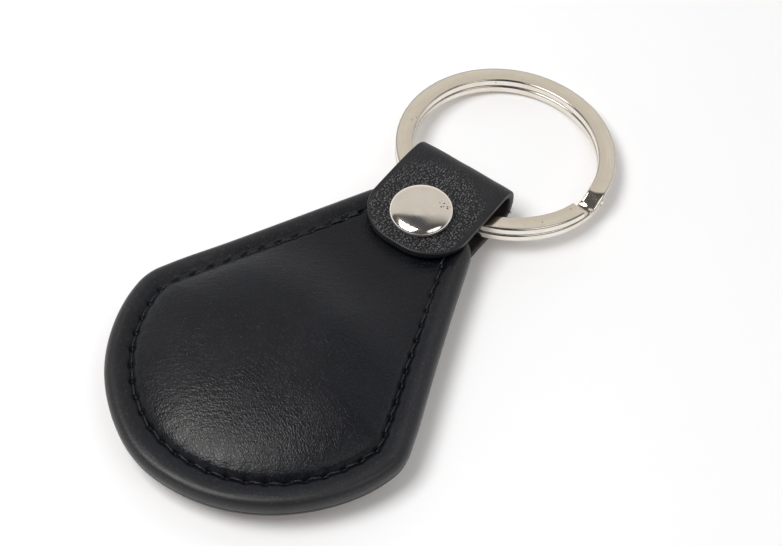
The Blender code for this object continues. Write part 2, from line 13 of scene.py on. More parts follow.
import bmesh
import bpy
import numpy as np
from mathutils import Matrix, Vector


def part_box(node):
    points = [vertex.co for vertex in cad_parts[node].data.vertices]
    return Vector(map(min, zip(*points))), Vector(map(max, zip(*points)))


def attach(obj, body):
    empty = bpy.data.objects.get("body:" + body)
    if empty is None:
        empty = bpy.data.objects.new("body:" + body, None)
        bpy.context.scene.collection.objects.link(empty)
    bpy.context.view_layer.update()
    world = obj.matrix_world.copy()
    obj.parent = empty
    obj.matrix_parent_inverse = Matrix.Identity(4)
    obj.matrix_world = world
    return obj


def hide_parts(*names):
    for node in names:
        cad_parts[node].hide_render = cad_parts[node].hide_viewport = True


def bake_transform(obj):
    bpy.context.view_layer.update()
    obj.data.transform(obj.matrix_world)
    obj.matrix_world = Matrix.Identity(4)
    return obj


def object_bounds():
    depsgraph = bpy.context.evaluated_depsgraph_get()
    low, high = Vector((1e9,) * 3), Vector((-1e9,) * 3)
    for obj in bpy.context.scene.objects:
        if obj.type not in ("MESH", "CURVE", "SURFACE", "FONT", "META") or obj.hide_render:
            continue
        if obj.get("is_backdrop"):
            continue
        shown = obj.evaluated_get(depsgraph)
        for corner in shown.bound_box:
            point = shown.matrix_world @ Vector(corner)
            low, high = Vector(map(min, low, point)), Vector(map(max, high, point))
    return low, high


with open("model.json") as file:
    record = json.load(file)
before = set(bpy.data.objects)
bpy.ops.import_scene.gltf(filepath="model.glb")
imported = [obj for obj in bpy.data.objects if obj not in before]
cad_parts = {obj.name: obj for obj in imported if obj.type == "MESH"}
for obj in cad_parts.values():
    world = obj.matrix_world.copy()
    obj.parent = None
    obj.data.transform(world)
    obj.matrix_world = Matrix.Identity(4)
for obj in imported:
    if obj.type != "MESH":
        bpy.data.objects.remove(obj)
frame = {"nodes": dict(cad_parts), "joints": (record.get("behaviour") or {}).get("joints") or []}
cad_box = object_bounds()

MM = 0.001

# %% [markdown]
# ## The camera
# The picture is taken from above, to the right of the fob's round end, with a long lens from close by.
# We could set the camera's angles, but its place and a point it looks at are easier to read and to change.

# %% Camera
CAMERA_PLACE, CAMERA_TARGET = (0.11030, -0.12668, 0.23861), (0.00121, 0.00087, 0.00240)
FOCAL_LENGTH, SENSOR_WIDTH, NEAREST = 101.28, 36.0, 0.01


def add_object(name, data):
    """A new object at the origin, shown in the scene."""
    thing = bpy.data.objects.new(name, data)
    bpy.context.scene.collection.objects.link(thing)
    return thing


def aim(thing, place, target):
    """Puts a camera or lamp at a place and turns its -Z axis towards the target."""
    thing.location = place
    thing.rotation_euler = (Vector(target) - Vector(place)).to_track_quat("-Z", "Y").to_euler()


lens = bpy.data.cameras.new("studio_camera")
lens.sensor_fit = "HORIZONTAL"
lens.lens, lens.sensor_width, lens.clip_start = FOCAL_LENGTH, SENSOR_WIDTH, NEAREST
camera = add_object("studio_camera", lens)
aim(camera, CAMERA_PLACE, CAMERA_TARGET)
bpy.context.scene.camera = camera
bpy.context.scene.view_settings.view_transform = "Standard"
print("camera stands", round(math.dist(CAMERA_PLACE, CAMERA_TARGET), 3), "m from the fob")

# %% [markdown]
# ## Node trees without much typing
# A finish is a tree of nodes. A value that is a socket is wired in, and any other value is typed into the node's
# own socket. Every socket knows its tree, so sums, ramps and mixes of sockets find by themselves where to go.

# %% Helpers for nodes
def fill(made, **inputs):
    """Fills a node's inputs by name or number: wires a socket in, and types in a number or a colour."""
    for name, value in inputs.items():
        socket = made.inputs[int(name[1:]) if name[1:].isdigit() else name.replace("_", " ")]
        if isinstance(value, bpy.types.NodeSocket):
            made.id_data.links.new(value, socket)
        else:
            socket.default_value = (*value, 1.0) if socket.type == "RGBA" else value


def node(tree, kind, settings=None, **inputs):
    """Adds a node, sets its properties from settings, fills its inputs and returns its outputs."""
    made = tree.nodes.new("ShaderNode" + kind)
    for name, value in (settings or {}).items():
        setattr(made, name, value)
    fill(made, **inputs)
    return made.outputs


def math_node(operation, *values, clamp=False):
    """A Math node's output, in the tree of the first socket among the values."""
    tree = next(value.id_data for value in values if isinstance(value, bpy.types.NodeSocket))
    inputs = {f"i{place}": value for place, value in enumerate(values)}
    return node(tree, "Math", {"operation": operation, "use_clamp": clamp}, **inputs)[0]


def plus(*values):
    """The sum of numbers and sockets."""
    return reduce(partial(math_node, "ADD"), values)


def times(*values):
    """The product of numbers and sockets."""
    return reduce(partial(math_node, "MULTIPLY"), values)


def vector_node(operation, first, second=(0, 0, 0), **inputs):
    """A Vector Math node's vector, or its number where the operation gives one."""
    made = node(first.id_data, "VectorMath", {"operation": operation}, i0=first, i1=second, **inputs)
    return made[1 if operation in ("DOT_PRODUCT", "LENGTH", "DISTANCE") else 0]


def ramp(value, low, high, to_low=0.0, to_high=1.0):
    """Maps a value from low..high to to_low..to_high with smooth ends."""
    return node(value.id_data, "MapRange", {"interpolation_type": "SMOOTHSTEP"}, Value=value, From_Min=low,
                From_Max=high, To_Min=to_low, To_Max=to_high)[0]


def noise(place, scale, detail, roughness=0.5, output="Fac"):
    """A Noise Texture's number, or its colour."""
    return node(place.id_data, "TexNoise", Vector=place, Scale=scale, Detail=detail, Roughness=roughness)[output]


def mix_colours(share, first, *layers):
    """A colour from first to the next one by share, and then each (share, colour) pair laid over it."""
    layers = ((share, layers[0]), *layers[1:])
    for share, shade in layers:
        first = node(share.id_data, "Mix", {"data_type": "RGBA"}, i0=share, i6=first, i7=shade)[2]
    return first


def bump(height, distance):
    """A normal from a height between 0 and 1, where distance is the real depth in metres."""
    return node(height.id_data, "Bump", Height=height, Distance=distance, Strength=1.0)[0]


def new_finish(name):
    """A material around its Principled shader: returns the material, its tree and the shader."""
    finish = bpy.data.materials.new(name)
    finish.use_nodes = True
    return finish, finish.node_tree, finish.node_tree.nodes["Principled BSDF"]


def object_place(tree):
    """The piece's own place in metres."""
    return node(tree, "TexCoord")["Object"]


def attribute(tree, name, output="Fac"):
    """A value that a piece carries at its points."""
    return node(tree, "Attribute", {"attribute_name": name})[output]


print("node helpers ready")

# %% [markdown]
# ## Floor and light
# The fob lies on a bright white sheet under a large soft light at the upper left.
# We could overexpose the floor, but that would also wash out the leather.
# So the floor takes the light as a pale surface, and adds a little glow of its own only for the camera and for
# reflections: it reads as white, and where the fob shades it, the glow keeps the shadow light and warm.

# %% Floor
FLOOR_SIZE = 3.0
FLOOR_COLOUR, FLOOR_GLOW, FLOOR_ROUGHNESS = (0.885, 0.91, 0.95), (0.11, 0.095, 0.08), 0.9


def make_floor():
    """A flat square on z = 0, whose glow is seen by the camera and by mirrors only."""
    half = FLOOR_SIZE / 2
    mesh = bpy.data.meshes.new("floor")
    mesh.from_pydata([(-half, -half, 0), (half, -half, 0), (half, half, 0), (-half, half, 0)], [], [(0, 1, 2, 3)])
    finish, tree, shader = new_finish("pale_floor")
    path = node(tree, "LightPath")
    seen = math_node("ADD", path["Is Camera Ray"], path["Is Glossy Ray"], clamp=True)
    seen = math_node("ADD", seen, path["Is Transmission Ray"], clamp=True)
    fill(shader, Base_Color=FLOOR_COLOUR, Roughness=FLOOR_ROUGHNESS, Specular_IOR_Level=0.0,
         Emission_Color=FLOOR_GLOW, Emission_Strength=seen)
    mesh.materials.append(finish)
    add_object("floor", mesh)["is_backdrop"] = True


make_floor()
print("floor", FLOOR_SIZE, "m wide")

# %% [markdown]
# ## Soft light with something to reflect
# Polished metal and satin leather show the room they lie in. Under an even sky they would look like grey paint.
# So the sky is a warm pale wall that turns into a dark ceiling towards the camera, with a window in it on the
# right, and a broad soft box hangs in front of the ceiling. The box gives the puff its glow and the rivet its
# bright patch, and the ceiling draws the thin dark lines along the ring's edges.

# %% Sky
SKY_LOW, SKY_HIGH, SKY_TURN = (1.12, 1.13, 1.15), (0.70, 0.69, 0.68), (0.03, 0.28)
CEILING, CEILING_SIDE = (0.080, 0.084, 0.095), (-0.50, 0.84, -0.48)
CEILING_EDGES, CEILING_FADE, CEILING_FOOT = (-0.32, 0.0, 0.05, 0.42), (0.4, -0.7), (0.3, 0.5)
WINDOW, WINDOW_PLACE, WINDOW_ANGLES = (1.9, 1.9, 1.85), (0.53, 0.06, 0.82), (17, 12)
DARK_PATCH, DARK_PLACE, DARK_ANGLES = (0.085, 0.065, 0.055), (0.62, -0.74, 0.26), (23, 15)


def make_sky():
    """The room round the fob: pale low down, warm higher up, dark where a direction is past the ceiling's edge,
    with two round patches, a bright window and a dark corner of the room."""
    world = bpy.data.worlds.new("studio")
    world.use_nodes = True
    bpy.context.scene.world = world
    tree = world.node_tree
    direction = node(tree, "TexCoord")["Generated"]
    right, _, up = node(tree, "SeparateXYZ", Vector=direction)

    def along(axis):
        return vector_node("DOT_PRODUCT", direction, Vector(axis).normalized())

    past = math_node("DIVIDE", along(CEILING_SIDE), ramp(right, *CEILING_EDGES))
    layers = [(times(ramp(past, *CEILING_FADE), ramp(up, *CEILING_FOOT)), CEILING)]
    for place, angles, shade in ((WINDOW_PLACE, WINDOW_ANGLES, WINDOW), (DARK_PLACE, DARK_ANGLES, DARK_PATCH)):
        layers.append((ramp(along(place), *np.cos(np.radians(angles)).tolist()), shade))
    fill(tree.nodes["Background"], Color=mix_colours(ramp(up, *SKY_TURN), SKY_LOW, SKY_HIGH, *layers))


make_sky()
print("sky set")

# %% Soft box
BOX_PLACE, BOX_SIDES = (-0.167, -0.224, 0.55), (0.30, 0.36)
BOX_POWER, BOX_COLOUR = 3.16, (1.0, 0.97, 0.93)


def make_soft_box():
    """A broad area lamp that hangs level and faces down."""
    light = bpy.data.lights.new("soft_box", "AREA")
    light.shape = "RECTANGLE"
    light.size, light.size_y = BOX_SIDES
    light.energy, light.color = BOX_POWER, BOX_COLOUR
    aim(add_object("soft_box", light), BOX_PLACE, (BOX_PLACE[0], BOX_PLACE[1] + 1 * MM, 0))


make_soft_box()
print("soft box set")

# %% [markdown]
# ## Sizes and places
# A new piece has to lie exactly where its solid lies. The solids' own sizes are written here again in metres,
# and the places come from the frame: the round end's centre from the front cover's box,
# the rivet and the ring's hinge from the joints.

# %% Sizes shared by the pieces
BOTTOM_RADIUS, CORNER_RADIUS, SIDE_LEAN = 21.8 * MM, 6.6 * MM, math.radians(24.3)
NECK_HALF_WIDTH, NECK_CORNER_RADIUS, NECK_END = 8.57 * MM, 4.5 * MM, 30.05 * MM
RIVET_DISTANCE, PUFF_END, PUFF_CENTRE, SEAM_INSET = 28.04 * MM, 19.7 * MM, 1.5 * MM, 3.25 * MM

ROUND_END_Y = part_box("front_cover")[0][1] + BOTTOM_RADIUS
joints = {joint["name"]: joint for joint in frame["joints"]}
rivet_axis = np.array(joints["strap_swivel"]["pos_m"]) * [1, 1, 0]
hinge_place, hinge_axis = (np.array(joints["ring_swing"][key]) for key in ("pos_m", "axis"))
UP = np.array([0, 0, 1.0])
strap_forwards = np.cross(UP, hinge_axis)
print("round end centre at y =", round(ROUND_END_Y / MM, 3), "mm, rivet at y =", round(rivet_axis[1] / MM, 3), "mm")

# %% [markdown]
# ## From arrays to closed meshes
# Most pieces are skins: rows of points, each row a loop round the piece, from a first pole to a last one.
# One function turns such an array into a mesh. It also measures the volume that the faces enclose:
# if that comes out negative the faces look inwards, and all of them are turned round at once.

# %% Mesh helpers
def make_piece(name, points, quads, triangles, values=None):
    """Puts arrays into a mesh object at the origin. The enclosed volume is the sum of the tetrahedra that the
    triangles span with the origin. values holds named arrays of one number, or three, for each point."""
    quads, triangles = quads.reshape(-1, 4), np.reshape(triangles, (-1, 3)).astype(int)
    halves = np.concatenate([quads[:, [0, 1, 2]], quads[:, [0, 2, 3]], triangles])
    a, b, c = (points[halves[:, corner]] for corner in range(3))
    if np.einsum("ij,ij->", a, np.cross(b, c)) < 0:
        quads, triangles = quads[:, ::-1], triangles[:, ::-1]
    mesh = bpy.data.meshes.new(name)
    mesh.from_pydata(points.tolist(), [], quads.tolist() + triangles.tolist())
    mesh.shade_smooth()
    for key, array in (values or {}).items():
        kind, field = ("FLOAT_VECTOR", "vector") if np.size(array) == points.size else ("FLOAT", "value")
        mesh.attributes.new(key, kind, "POINT").data.foreach_set(field, np.ravel(array).astype(np.float32))
    return add_object(name, mesh)


def bands(rows, columns):
    """Quads between neighbouring loops, rows by columns by 4. The last band joins the last loop to the first."""
    lower = np.arange(rows * columns).reshape(rows, columns)
    upper = np.roll(lower, -1, 0)
    return np.stack([lower, np.roll(lower, -1, 1), np.roll(upper, -1, 1), upper], -1)


def skin(name, loops, first_pole, last_pole, turn=0, values=None):
    """A closed piece from loops, an array of rows by columns by 3. It runs from row turn round to the row before
    it: a fan closes the one to its first pole, and another fan the other to its last pole."""
    rows, columns = loops.shape[:2]
    around = np.arange(columns)
    following, tip = np.roll(around, -1), np.full(columns, rows * columns)
    first, last = turn * columns, (turn - 1) % rows * columns
    fans = np.stack([[first + following, first + around, tip], [last + around, last + following, tip + 1]])
    points = np.vstack([loops.reshape(-1, 3), first_pole, last_pole])
    with_poles = {key: np.vstack([array.reshape(rows * columns, -1), array[[turn, turn - 1]].mean(1).reshape(2, -1)])
                  for key, array in (values or {}).items()}
    return make_piece(name, points, np.delete(bands(rows, columns), turn - 1, 0), fans.transpose(0, 2, 1),
                      with_poles)


def tube_bundle(name, tubes, starts, ends, values=None):
    """One mesh of many separate closed tubes: tubes is count by rings by sides by 3, and a fan to its start
    and one to its end close each of them."""
    count, rings, sides = tubes.shape[:3]
    base = (np.arange(count) * rings * sides)[:, None]
    around = np.arange(sides)
    following = np.roll(around, -1)
    quads = bands(rings, sides)[:-1].reshape(-1, 4) + base[..., None]
    tip = count * rings * sides + np.arange(count)[:, None] + 0 * around
    last_ring = base + (rings - 1) * sides
    fans = [np.stack([base + following, base + around, tip], -1),
            np.stack([last_ring + around, last_ring + following, tip + count], -1)]
    return make_piece(name, np.vstack([tubes.reshape(-1, 3), starts, ends]), quads, fans, values)


def finish_piece(piece, body, slot, material, *replaced):
    """Gives a piece its material, its body if it has only one, and hides the nodes that it stands for. The slot is not
    used.
    """
    piece.data.materials.append(material)
    if body:
        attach(piece, body)
    if replaced:
        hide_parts(*replaced)
    print(piece.name, "has", len(piece.data.polygons), "faces")


def smooth_step(value):
    """Rises from 0 to 1 with level ends as the value goes from 0 to 1."""
    value = np.clip(value, 0, 1)
    return value * value * (3 - 2 * value)


def bell(value, width):
    """1 at 0, and down to nothing beyond the width on both sides."""
    return np.exp(-(value / width) ** 2)


def ripple(plan, height, wavelength, seed, waves=7):
    """A gentle unevenness, about height up and down: a sum of sines in seeded directions and phases."""
    draw = np.random.default_rng(seed)
    total = 0
    for _ in range(waves):
        heading, phase, stretch = draw.uniform(0, math.tau), draw.uniform(0, math.tau), draw.uniform(0.7, 1.5)
        along = plan @ [math.cos(heading), math.sin(heading)]
        total = total + np.sin(along * math.tau / (wavelength * stretch) + phase)
    return height * (total / math.sqrt(2 * waves))


print("mesh helpers ready")

# %% [markdown]
# ## The outline
# Seen from above the fob is a teardrop: a round bottom, rounded corners, straight sides that lean in, and a
# square neck under the strap. It could be a drawn curve, but a formula can be moved in by any distance
# and still has the same number of points, so its loops can be skinned straight away.

# %% Teardrop outline
BOTTOM_STEPS, CORNER_STEPS, SIDE_STEPS, NECK_STEPS, END_STEPS = 118, 16, 92, 20, 14
LEAST_CORNER = 0.25
QUARTER = math.pi / 2


def arc(centre, radius, start, end, steps):
    """Points on an arc from start to end angle, both ends kept."""
    angles = np.linspace(start, end, steps + 1)
    return np.stack([centre[0] + radius * np.cos(angles), centre[1] + radius * np.sin(angles)], 1)


def teardrop(inset, end=NECK_END):
    """The outline moved in by inset, counter-clockwise from the bottom, about the round end's centre."""
    across = np.array([math.cos(SIDE_LEAN), math.sin(SIDE_LEAN)])
    offset = across @ [NECK_HALF_WIDTH, RIVET_DISTANCE] - inset
    radius = BOTTOM_RADIUS - inset
    corner, neck_corner = (max(full - inset, full * LEAST_CORNER) for full in (CORNER_RADIUS, NECK_CORNER_RADIUS))
    along = math.sqrt((radius - corner) ** 2 - (offset - corner) ** 2)
    corner_centre = (offset - corner) * across + along * across[::-1] * [1, -1]
    corner_start = math.atan2(corner_centre[1], corner_centre[0])
    neck_y = end - inset - neck_corner
    neck_x = (offset - neck_corner - neck_y * across[1]) / across[0]
    bottom = arc((0, 0), radius, -QUARTER, corner_start, BOTTOM_STEPS)
    lower = arc(corner_centre, corner, corner_start, SIDE_LEAN, CORNER_STEPS)
    upper = arc((neck_x, neck_y), neck_corner, SIDE_LEAN, QUARTER, NECK_STEPS)
    side = lower[-1] + np.linspace(0, 1, SIDE_STEPS + 1)[1:-1, None] * (upper[0] - lower[-1])
    top = np.stack([np.linspace(neck_x, 0, END_STEPS + 1)[1:], np.full(END_STEPS, end - inset)], 1)
    half = np.concatenate([bottom, lower[1:], side, upper, top])
    return np.concatenate([half, half[-2:0:-1] * [-1, 1]])


def shrunk(plan, share):
    """An outline drawn in towards the middle of the puff."""
    centre = np.array([0, PUFF_CENTRE])
    return centre + share * (plan - centre)


outline, seam_line = teardrop(0), teardrop(SEAM_INSET)
seam_ahead = np.linalg.norm(np.roll(seam_line, -1, 0) - seam_line, axis=1)
seam_place = np.append(0, np.cumsum(seam_ahead)[:-1])
SEAM_LENGTH = seam_ahead.sum()
print("outline of", len(outline), "points, seam", round(SEAM_LENGTH / MM, 1), "mm round")

# %% [markdown]
# ## The covers' form
# Each cover is leather pulled over foam. It rises steeply beside the seam and rounds off to a broad crown,
# and towards the neck it fades out so that the strap lies flat. Cloth simulation could swell a cushion,
# but leather this stiff hardly wrinkles, and a formula meets the seam at exactly the right height.
# On top of it come the small things that make leather look sewn: a channel pressed in by the thread, a dimple at
# each hole, short puckers that run away from the holes, and an edge that isn't perfectly even.

# %% Height of the puffs
FRONT_PUFF, FRONT_FADE, FRONT_SQUARENESS, FRONT_STEEPNESS = 3.1 * MM, 14.0 * MM, 2.6, 0.66
REAR_PUFF, REAR_FADE, REAR_SQUARENESS, REAR_STEEPNESS = 2.8 * MM, 7.0 * MM, 2.2, 0.7
REST_SHARE = 0.6


def front_crown(share):
    """Steep at the seam (share 1), gently round in the middle."""
    return (1 - share ** FRONT_SQUARENESS) ** FRONT_STEEPNESS


def rear_crown(share):
    """Flat inside REST_SHARE, where the fob rests, then down to the seam."""
    fall = np.clip((share - REST_SHARE) / (1 - REST_SHARE), 0, 1)
    return (1 - fall ** REAR_SQUARENESS) ** REAR_STEEPNESS


FRONT_FORM, REAR_FORM = (FRONT_PUFF, front_crown, FRONT_FADE), (REAR_PUFF, rear_crown, REAR_FADE)


def reach_and_angle(points, centre=(0, PUFF_CENTRE)):
    """Distance and direction of points from a centre, which is the middle of the puff."""
    x, y = np.moveaxis(points - np.array(centre), -1, 0)
    return np.hypot(x, y), np.arctan2(y, x)


seam_reach = reach_and_angle(seam_line)[0]
puff_reach, puff_angle = reach_and_angle(teardrop(SEAM_INSET, PUFF_END + SEAM_INSET))


def puff_height(points, form, wall=0.0):
    """Rise times crown of the share of the way to the seam, times a smooth fade before the neck."""
    rise, crown, fade = form
    reach, angle = reach_and_angle(points)
    share = reach / np.interp(angle, puff_angle, puff_reach, period=math.tau)
    share = np.clip(share + wall / puff_reach.min(), 0, 1)
    return rise * crown(share) * smooth_step((PUFF_END - wall - points[..., 1]) / fade)


print("front crown at the middle:", round(float(puff_height(np.array([0, PUFF_CENTRE]), FRONT_FORM)) / MM, 2), "mm")

# %% Sewing and unevenness
STITCH_PITCH = 2.4 * MM
CHANNEL_DEPTH, CHANNEL_WIDTH = 0.19 * MM, 0.40 * MM
DIMPLE_DEPTH, DIMPLE_LENGTH, DIMPLE_WIDTH = 0.28 * MM, 0.36 * MM, 0.46 * MM
PUCKER, PUCKER_WIDTH, PUCKER_PEAK, PUCKER_FADE = 0.045 * MM, 0.8 * MM, 1.1 * MM, 1.3 * MM
RIM_WAVES, PUCKER_WAVES = (0.05 * MM, 26 * MM, 3), (0.5, 6 * MM, 11)
SEAM_FOLLOWS, RIM_SPAN, EDGE_SPAN = 0.35, (0.55, 0.3), (0.85, 0.13)
RIM_ANGLES = (-178, -168, -150, -138, -126, -116, -108, -102, -96, -88, -78, -60, -42, -30, -18, 6, 12, 24, 36,
              60, 150, 160, 172)
RIM_OFFSETS = (0.15, 0.26, 0.24, 0.36, 0.46, 0.56, 0.76, 0.94, 0.94, 0.76, 0.56, 0.34, 0.28, 0.35, 0.50, 0.56,
               0.56, 0.36, 0.20, 0.00, 0.00, 0.08, 0.28)
RIM_EASE = (-5.0, -2.5, 0.0, 2.5, 5.0)

hole_count = round(SEAM_LENGTH / STITCH_PITCH)
hole_pitch = SEAM_LENGTH / hole_count


def near_hole(width):
    """For each column of the outline, 1 at a needle hole and down to 0 between holes."""
    return bell((seam_place + hole_pitch / 2) % hole_pitch - hole_pitch / 2, width)


def drift(points):
    """Small shifts in plan: the hand-turned rim stands out by a measured amount at each angle, most of all in
    a blunt corner at the lower left. The seam follows it a little, and everything wanders slightly."""
    reach, angle = reach_and_angle(points, (0, 0))
    rim_reach, rim_angle = reach_and_angle(outline, (0, 0))
    share = reach / np.interp(angle, rim_angle, rim_reach, period=math.tau)
    rim, edge = (smooth_step((share - start) / width) for start, width in (RIM_SPAN, EDGE_SPAN))
    eased = [np.interp(np.degrees(angle) + ease, RIM_ANGLES, RIM_OFFSETS, period=360) for ease in RIM_EASE]
    stand_out = np.mean(eased, axis=0) * MM
    shift = rim * (ripple(points, *RIM_WAVES) + SEAM_FOLLOWS * stand_out) + (1 - SEAM_FOLLOWS) * edge * stand_out
    return points * (1 + shift / np.maximum(reach, 1e-6))[..., None]


def raised(points, height):
    """3-D points in the row frame from plan points about the round end's centre and their heights."""
    x, y = np.moveaxis(drift(points), -1, 0)
    return np.stack([x, y + ROUND_END_Y, height + 0 * x], -1)


def sewn_relief(from_seam, plan, side):
    """How far sewing moves the leather at a distance from the seam, inwards positive:
    a channel at the seam, a dimple at each hole, and puckers that fade out on the puff."""
    channel = CHANNEL_DEPTH * bell(from_seam, CHANNEL_WIDTH)
    dimples = DIMPLE_DEPTH * near_hole(DIMPLE_LENGTH) * bell(from_seam, DIMPLE_WIDTH)
    fade = np.exp(-np.abs(from_seam - PUCKER_PEAK) / PUCKER_FADE) * (np.abs(from_seam) > 0.2 * MM)
    puckers = PUCKER * (0.5 - near_hole(PUCKER_WIDTH)) * fade * (0.6 + ripple(plan, *PUCKER_WAVES))
    return side * (puckers - channel - dimples)


print(hole_count, "needle holes,", round(hole_pitch / MM, 3), "mm apart")

# %% [markdown]
# ## The front cover
# Its leather comes up from the rear cover as a low wall, rolls over into the flange, dips to the seam and rises
# to the puff. We run loops of the outline over that profile, closer together where the surface bends,
# and go back underneath for the leather's inner side, so the piece has its real thickness.

# %% Front cover
WALL_FOOT, SEAM_HEIGHT, FLANGE_TOP, SEAM_DEPTH = 3.62 * MM, 5.35 * MM, 5.7 * MM, 0.35 * MM
EDGE_ROLL, FRONT_LEATHER, FOOT_INSET = 1.25 * MM, 0.8 * MM, 0.12 * MM
TURN_DIP, TURN_DIP_INSET, TURN_DIP_WIDTH = 0.06 * MM, 2.0 * MM, 0.42 * MM
FLANGE_WAVES, PUFF_WAVES, WAVES_RISE = (0.03 * MM, 7 * MM, 5), (0.05 * MM, 11 * MM, 8), 4 * MM
FLANGE_FALL, SEAM_CROWDING = 1.6, 1.45
ROLL_LOOPS, FLANGE_LOOPS, FRONT_LOOPS, REAR_LOOPS = 12, 18, 62, 46
WALL_GRAIN, ROLL_GRAIN, FLANGE_GRAIN, SEAM_GRAIN = 0.3, 0.5, 0.5, 0.85
FLANGE_SHARES, INNER_SHARES = np.linspace(0, 1, FLANGE_LOOPS + 1)[1:], np.linspace(0.08, 1, 9)


def seam_shares(loops):
    """Shares of the way from the puff's middle to the seam: close together at the seam."""
    return 1 - (np.arange(1, loops + 1) / (loops + 1)) ** SEAM_CROWDING


def front_outside():
    """Rows of plan, height and grain from the wall's foot over the roll and the flange to the crown."""
    for inset, height in ((FOOT_INSET, WALL_FOOT), (0, WALL_FOOT + 0.2 * MM), (0, FLANGE_TOP - EDGE_ROLL - 0.25 * MM)):
        yield teardrop(inset), height, WALL_GRAIN
    for angle in np.linspace(0, QUARTER, ROLL_LOOPS):
        plan = teardrop(EDGE_ROLL * (1 - math.cos(angle)))
        yield (plan, FLANGE_TOP - EDGE_ROLL * (1 - math.sin(angle)),
               WALL_GRAIN + (ROLL_GRAIN - WALL_GRAIN) * math.sin(angle))
    for share in FLANGE_SHARES:
        inset = EDGE_ROLL + (SEAM_INSET - EDGE_ROLL) * share
        plan = teardrop(inset)
        level = FLANGE_TOP - SEAM_DEPTH * share ** FLANGE_FALL + ripple(plan, *FLANGE_WAVES)
        level -= TURN_DIP * bell(inset - TURN_DIP_INSET, TURN_DIP_WIDTH)
        yield (plan, level + sewn_relief(inset - SEAM_INSET, plan, 1),
               FLANGE_GRAIN + (SEAM_GRAIN - FLANGE_GRAIN) * share)
    for share in seam_shares(FRONT_LOOPS):
        plan, inwards = shrunk(seam_line, share), (1 - share) * seam_reach
        level = SEAM_HEIGHT + puff_height(plan, FRONT_FORM) + sewn_relief(inwards, plan, 1)
        yield plan, level + ripple(plan, *PUFF_WAVES) * smooth_step(inwards / WAVES_RISE), 1.0


def front_inside():
    """Rows from the crown's underside back to the wall's foot."""
    for share in INNER_SHARES:
        plan = shrunk(seam_line, share)
        yield plan, SEAM_HEIGHT - FRONT_LEATHER + puff_height(plan, FRONT_FORM, FRONT_LEATHER), 0.0
    inner_roll = EDGE_ROLL - FRONT_LEATHER
    for inset, height in ((EDGE_ROLL, FLANGE_TOP - FRONT_LEATHER),
                          (FRONT_LEATHER + 0.1 * MM, FLANGE_TOP - EDGE_ROLL + 0.8 * inner_roll),
                          (FRONT_LEATHER, FLANGE_TOP - EDGE_ROLL), (FRONT_LEATHER, WALL_FOOT)):
        yield teardrop(inset), height, 0.0


def puff_piece(name, outside, inside, inner_top, outer_top=None):
    """A cover or pad from the rows of its outside, from its edge to its crown, and those of its inside back to
    the edge. Each crown is closed by a fan at the middle of the puff. A cover's rows also hold their grain."""
    outside = list(outside)
    rows = [*outside, *inside]
    loops = np.array([raised(plan, height) for plan, height, *_ in rows])
    if outer_top is None:
        outer_top = loops[len(outside) - 1, :, 2].mean()
    poles = [[0, ROUND_END_Y + PUFF_CENTRE, top] for top in (inner_top, outer_top)]
    values = {"grain": np.array([[row[2]] * loops.shape[1] for row in rows])} if len(rows[0]) > 2 else None
    return skin(name, loops, *poles, len(outside), values)


front_cover = puff_piece("front_cover_leather", front_outside(), front_inside(),
                         SEAM_HEIGHT - FRONT_LEATHER + FRONT_PUFF)
print("front cover:", len(front_cover.data.vertices), "points")

# %% [markdown]
# ## The rear cover
# The rear leather is cut to the same outline and lies flat against the flange, so its cut edge shows as a thin
# line under the front cover. Its puff has a flat middle, because the fob's weight presses it on the table.

# %% Rear cover
FLANGE_UNDERSIDE, REAR_LEATHER, REAR_SETBACK, EDGE_ROUND = 2.8 * MM, 0.7 * MM, 0.2 * MM, 0.22 * MM
REAR_TOP = FLANGE_UNDERSIDE + REAR_LEATHER
EDGE_GRAIN, UNDERSIDE_GRAIN, REAR_WAVES = 0.2, 0.35, (0.04 * MM, 9 * MM, 21)


def rear_outside():
    """Rows from the cut edge's two rounded corners over the flange to the resting face."""
    for level, sign, grain in ((REAR_TOP, -1, 0.0), (FLANGE_UNDERSIDE, 1, EDGE_GRAIN)):
        for angle in np.linspace(0, QUARTER, 5):
            out, high = (1 - math.sin(angle), 1 - math.cos(angle))[::-sign]
            yield teardrop(REAR_SETBACK + EDGE_ROUND * out), level + sign * EDGE_ROUND * high, grain
    edge = REAR_SETBACK + EDGE_ROUND
    for inset in edge + (SEAM_INSET - edge) * FLANGE_SHARES:
        plan = teardrop(inset)
        yield plan, FLANGE_UNDERSIDE + sewn_relief(inset - SEAM_INSET, plan, -1), UNDERSIDE_GRAIN
    for share in seam_shares(REAR_LOOPS):
        plan = shrunk(seam_line, share)
        height = puff_height(plan, REAR_FORM)
        level = FLANGE_UNDERSIDE - height + sewn_relief((1 - share) * seam_reach, plan, -1)
        uneven = ripple(plan, *REAR_WAVES) * smooth_step(1.2 - height / REAR_PUFF)
        yield plan, np.maximum(level + uneven, 0), 1.0


def rear_inside():
    """Rows from the inner side of the resting face back to the flange."""
    for share in INNER_SHARES:
        plan = shrunk(seam_line, share)
        yield plan, REAR_TOP - puff_height(plan, REAR_FORM, REAR_LEATHER), 0.0
    yield teardrop(2 * MM), REAR_TOP, 0.0


rear_cover = puff_piece("rear_cover_leather", rear_outside(), rear_inside(), REAR_TOP - REAR_PUFF, 0.0)
print("rear cover:", len(rear_cover.data.vertices), "points")

# %% [markdown]
# ## Patterns that several finishes share
# Leather grain, creases, handling marks and metal scratches each go into a node group with named inputs,
# built once. A group only works out numbers; the shader itself stays in each material.

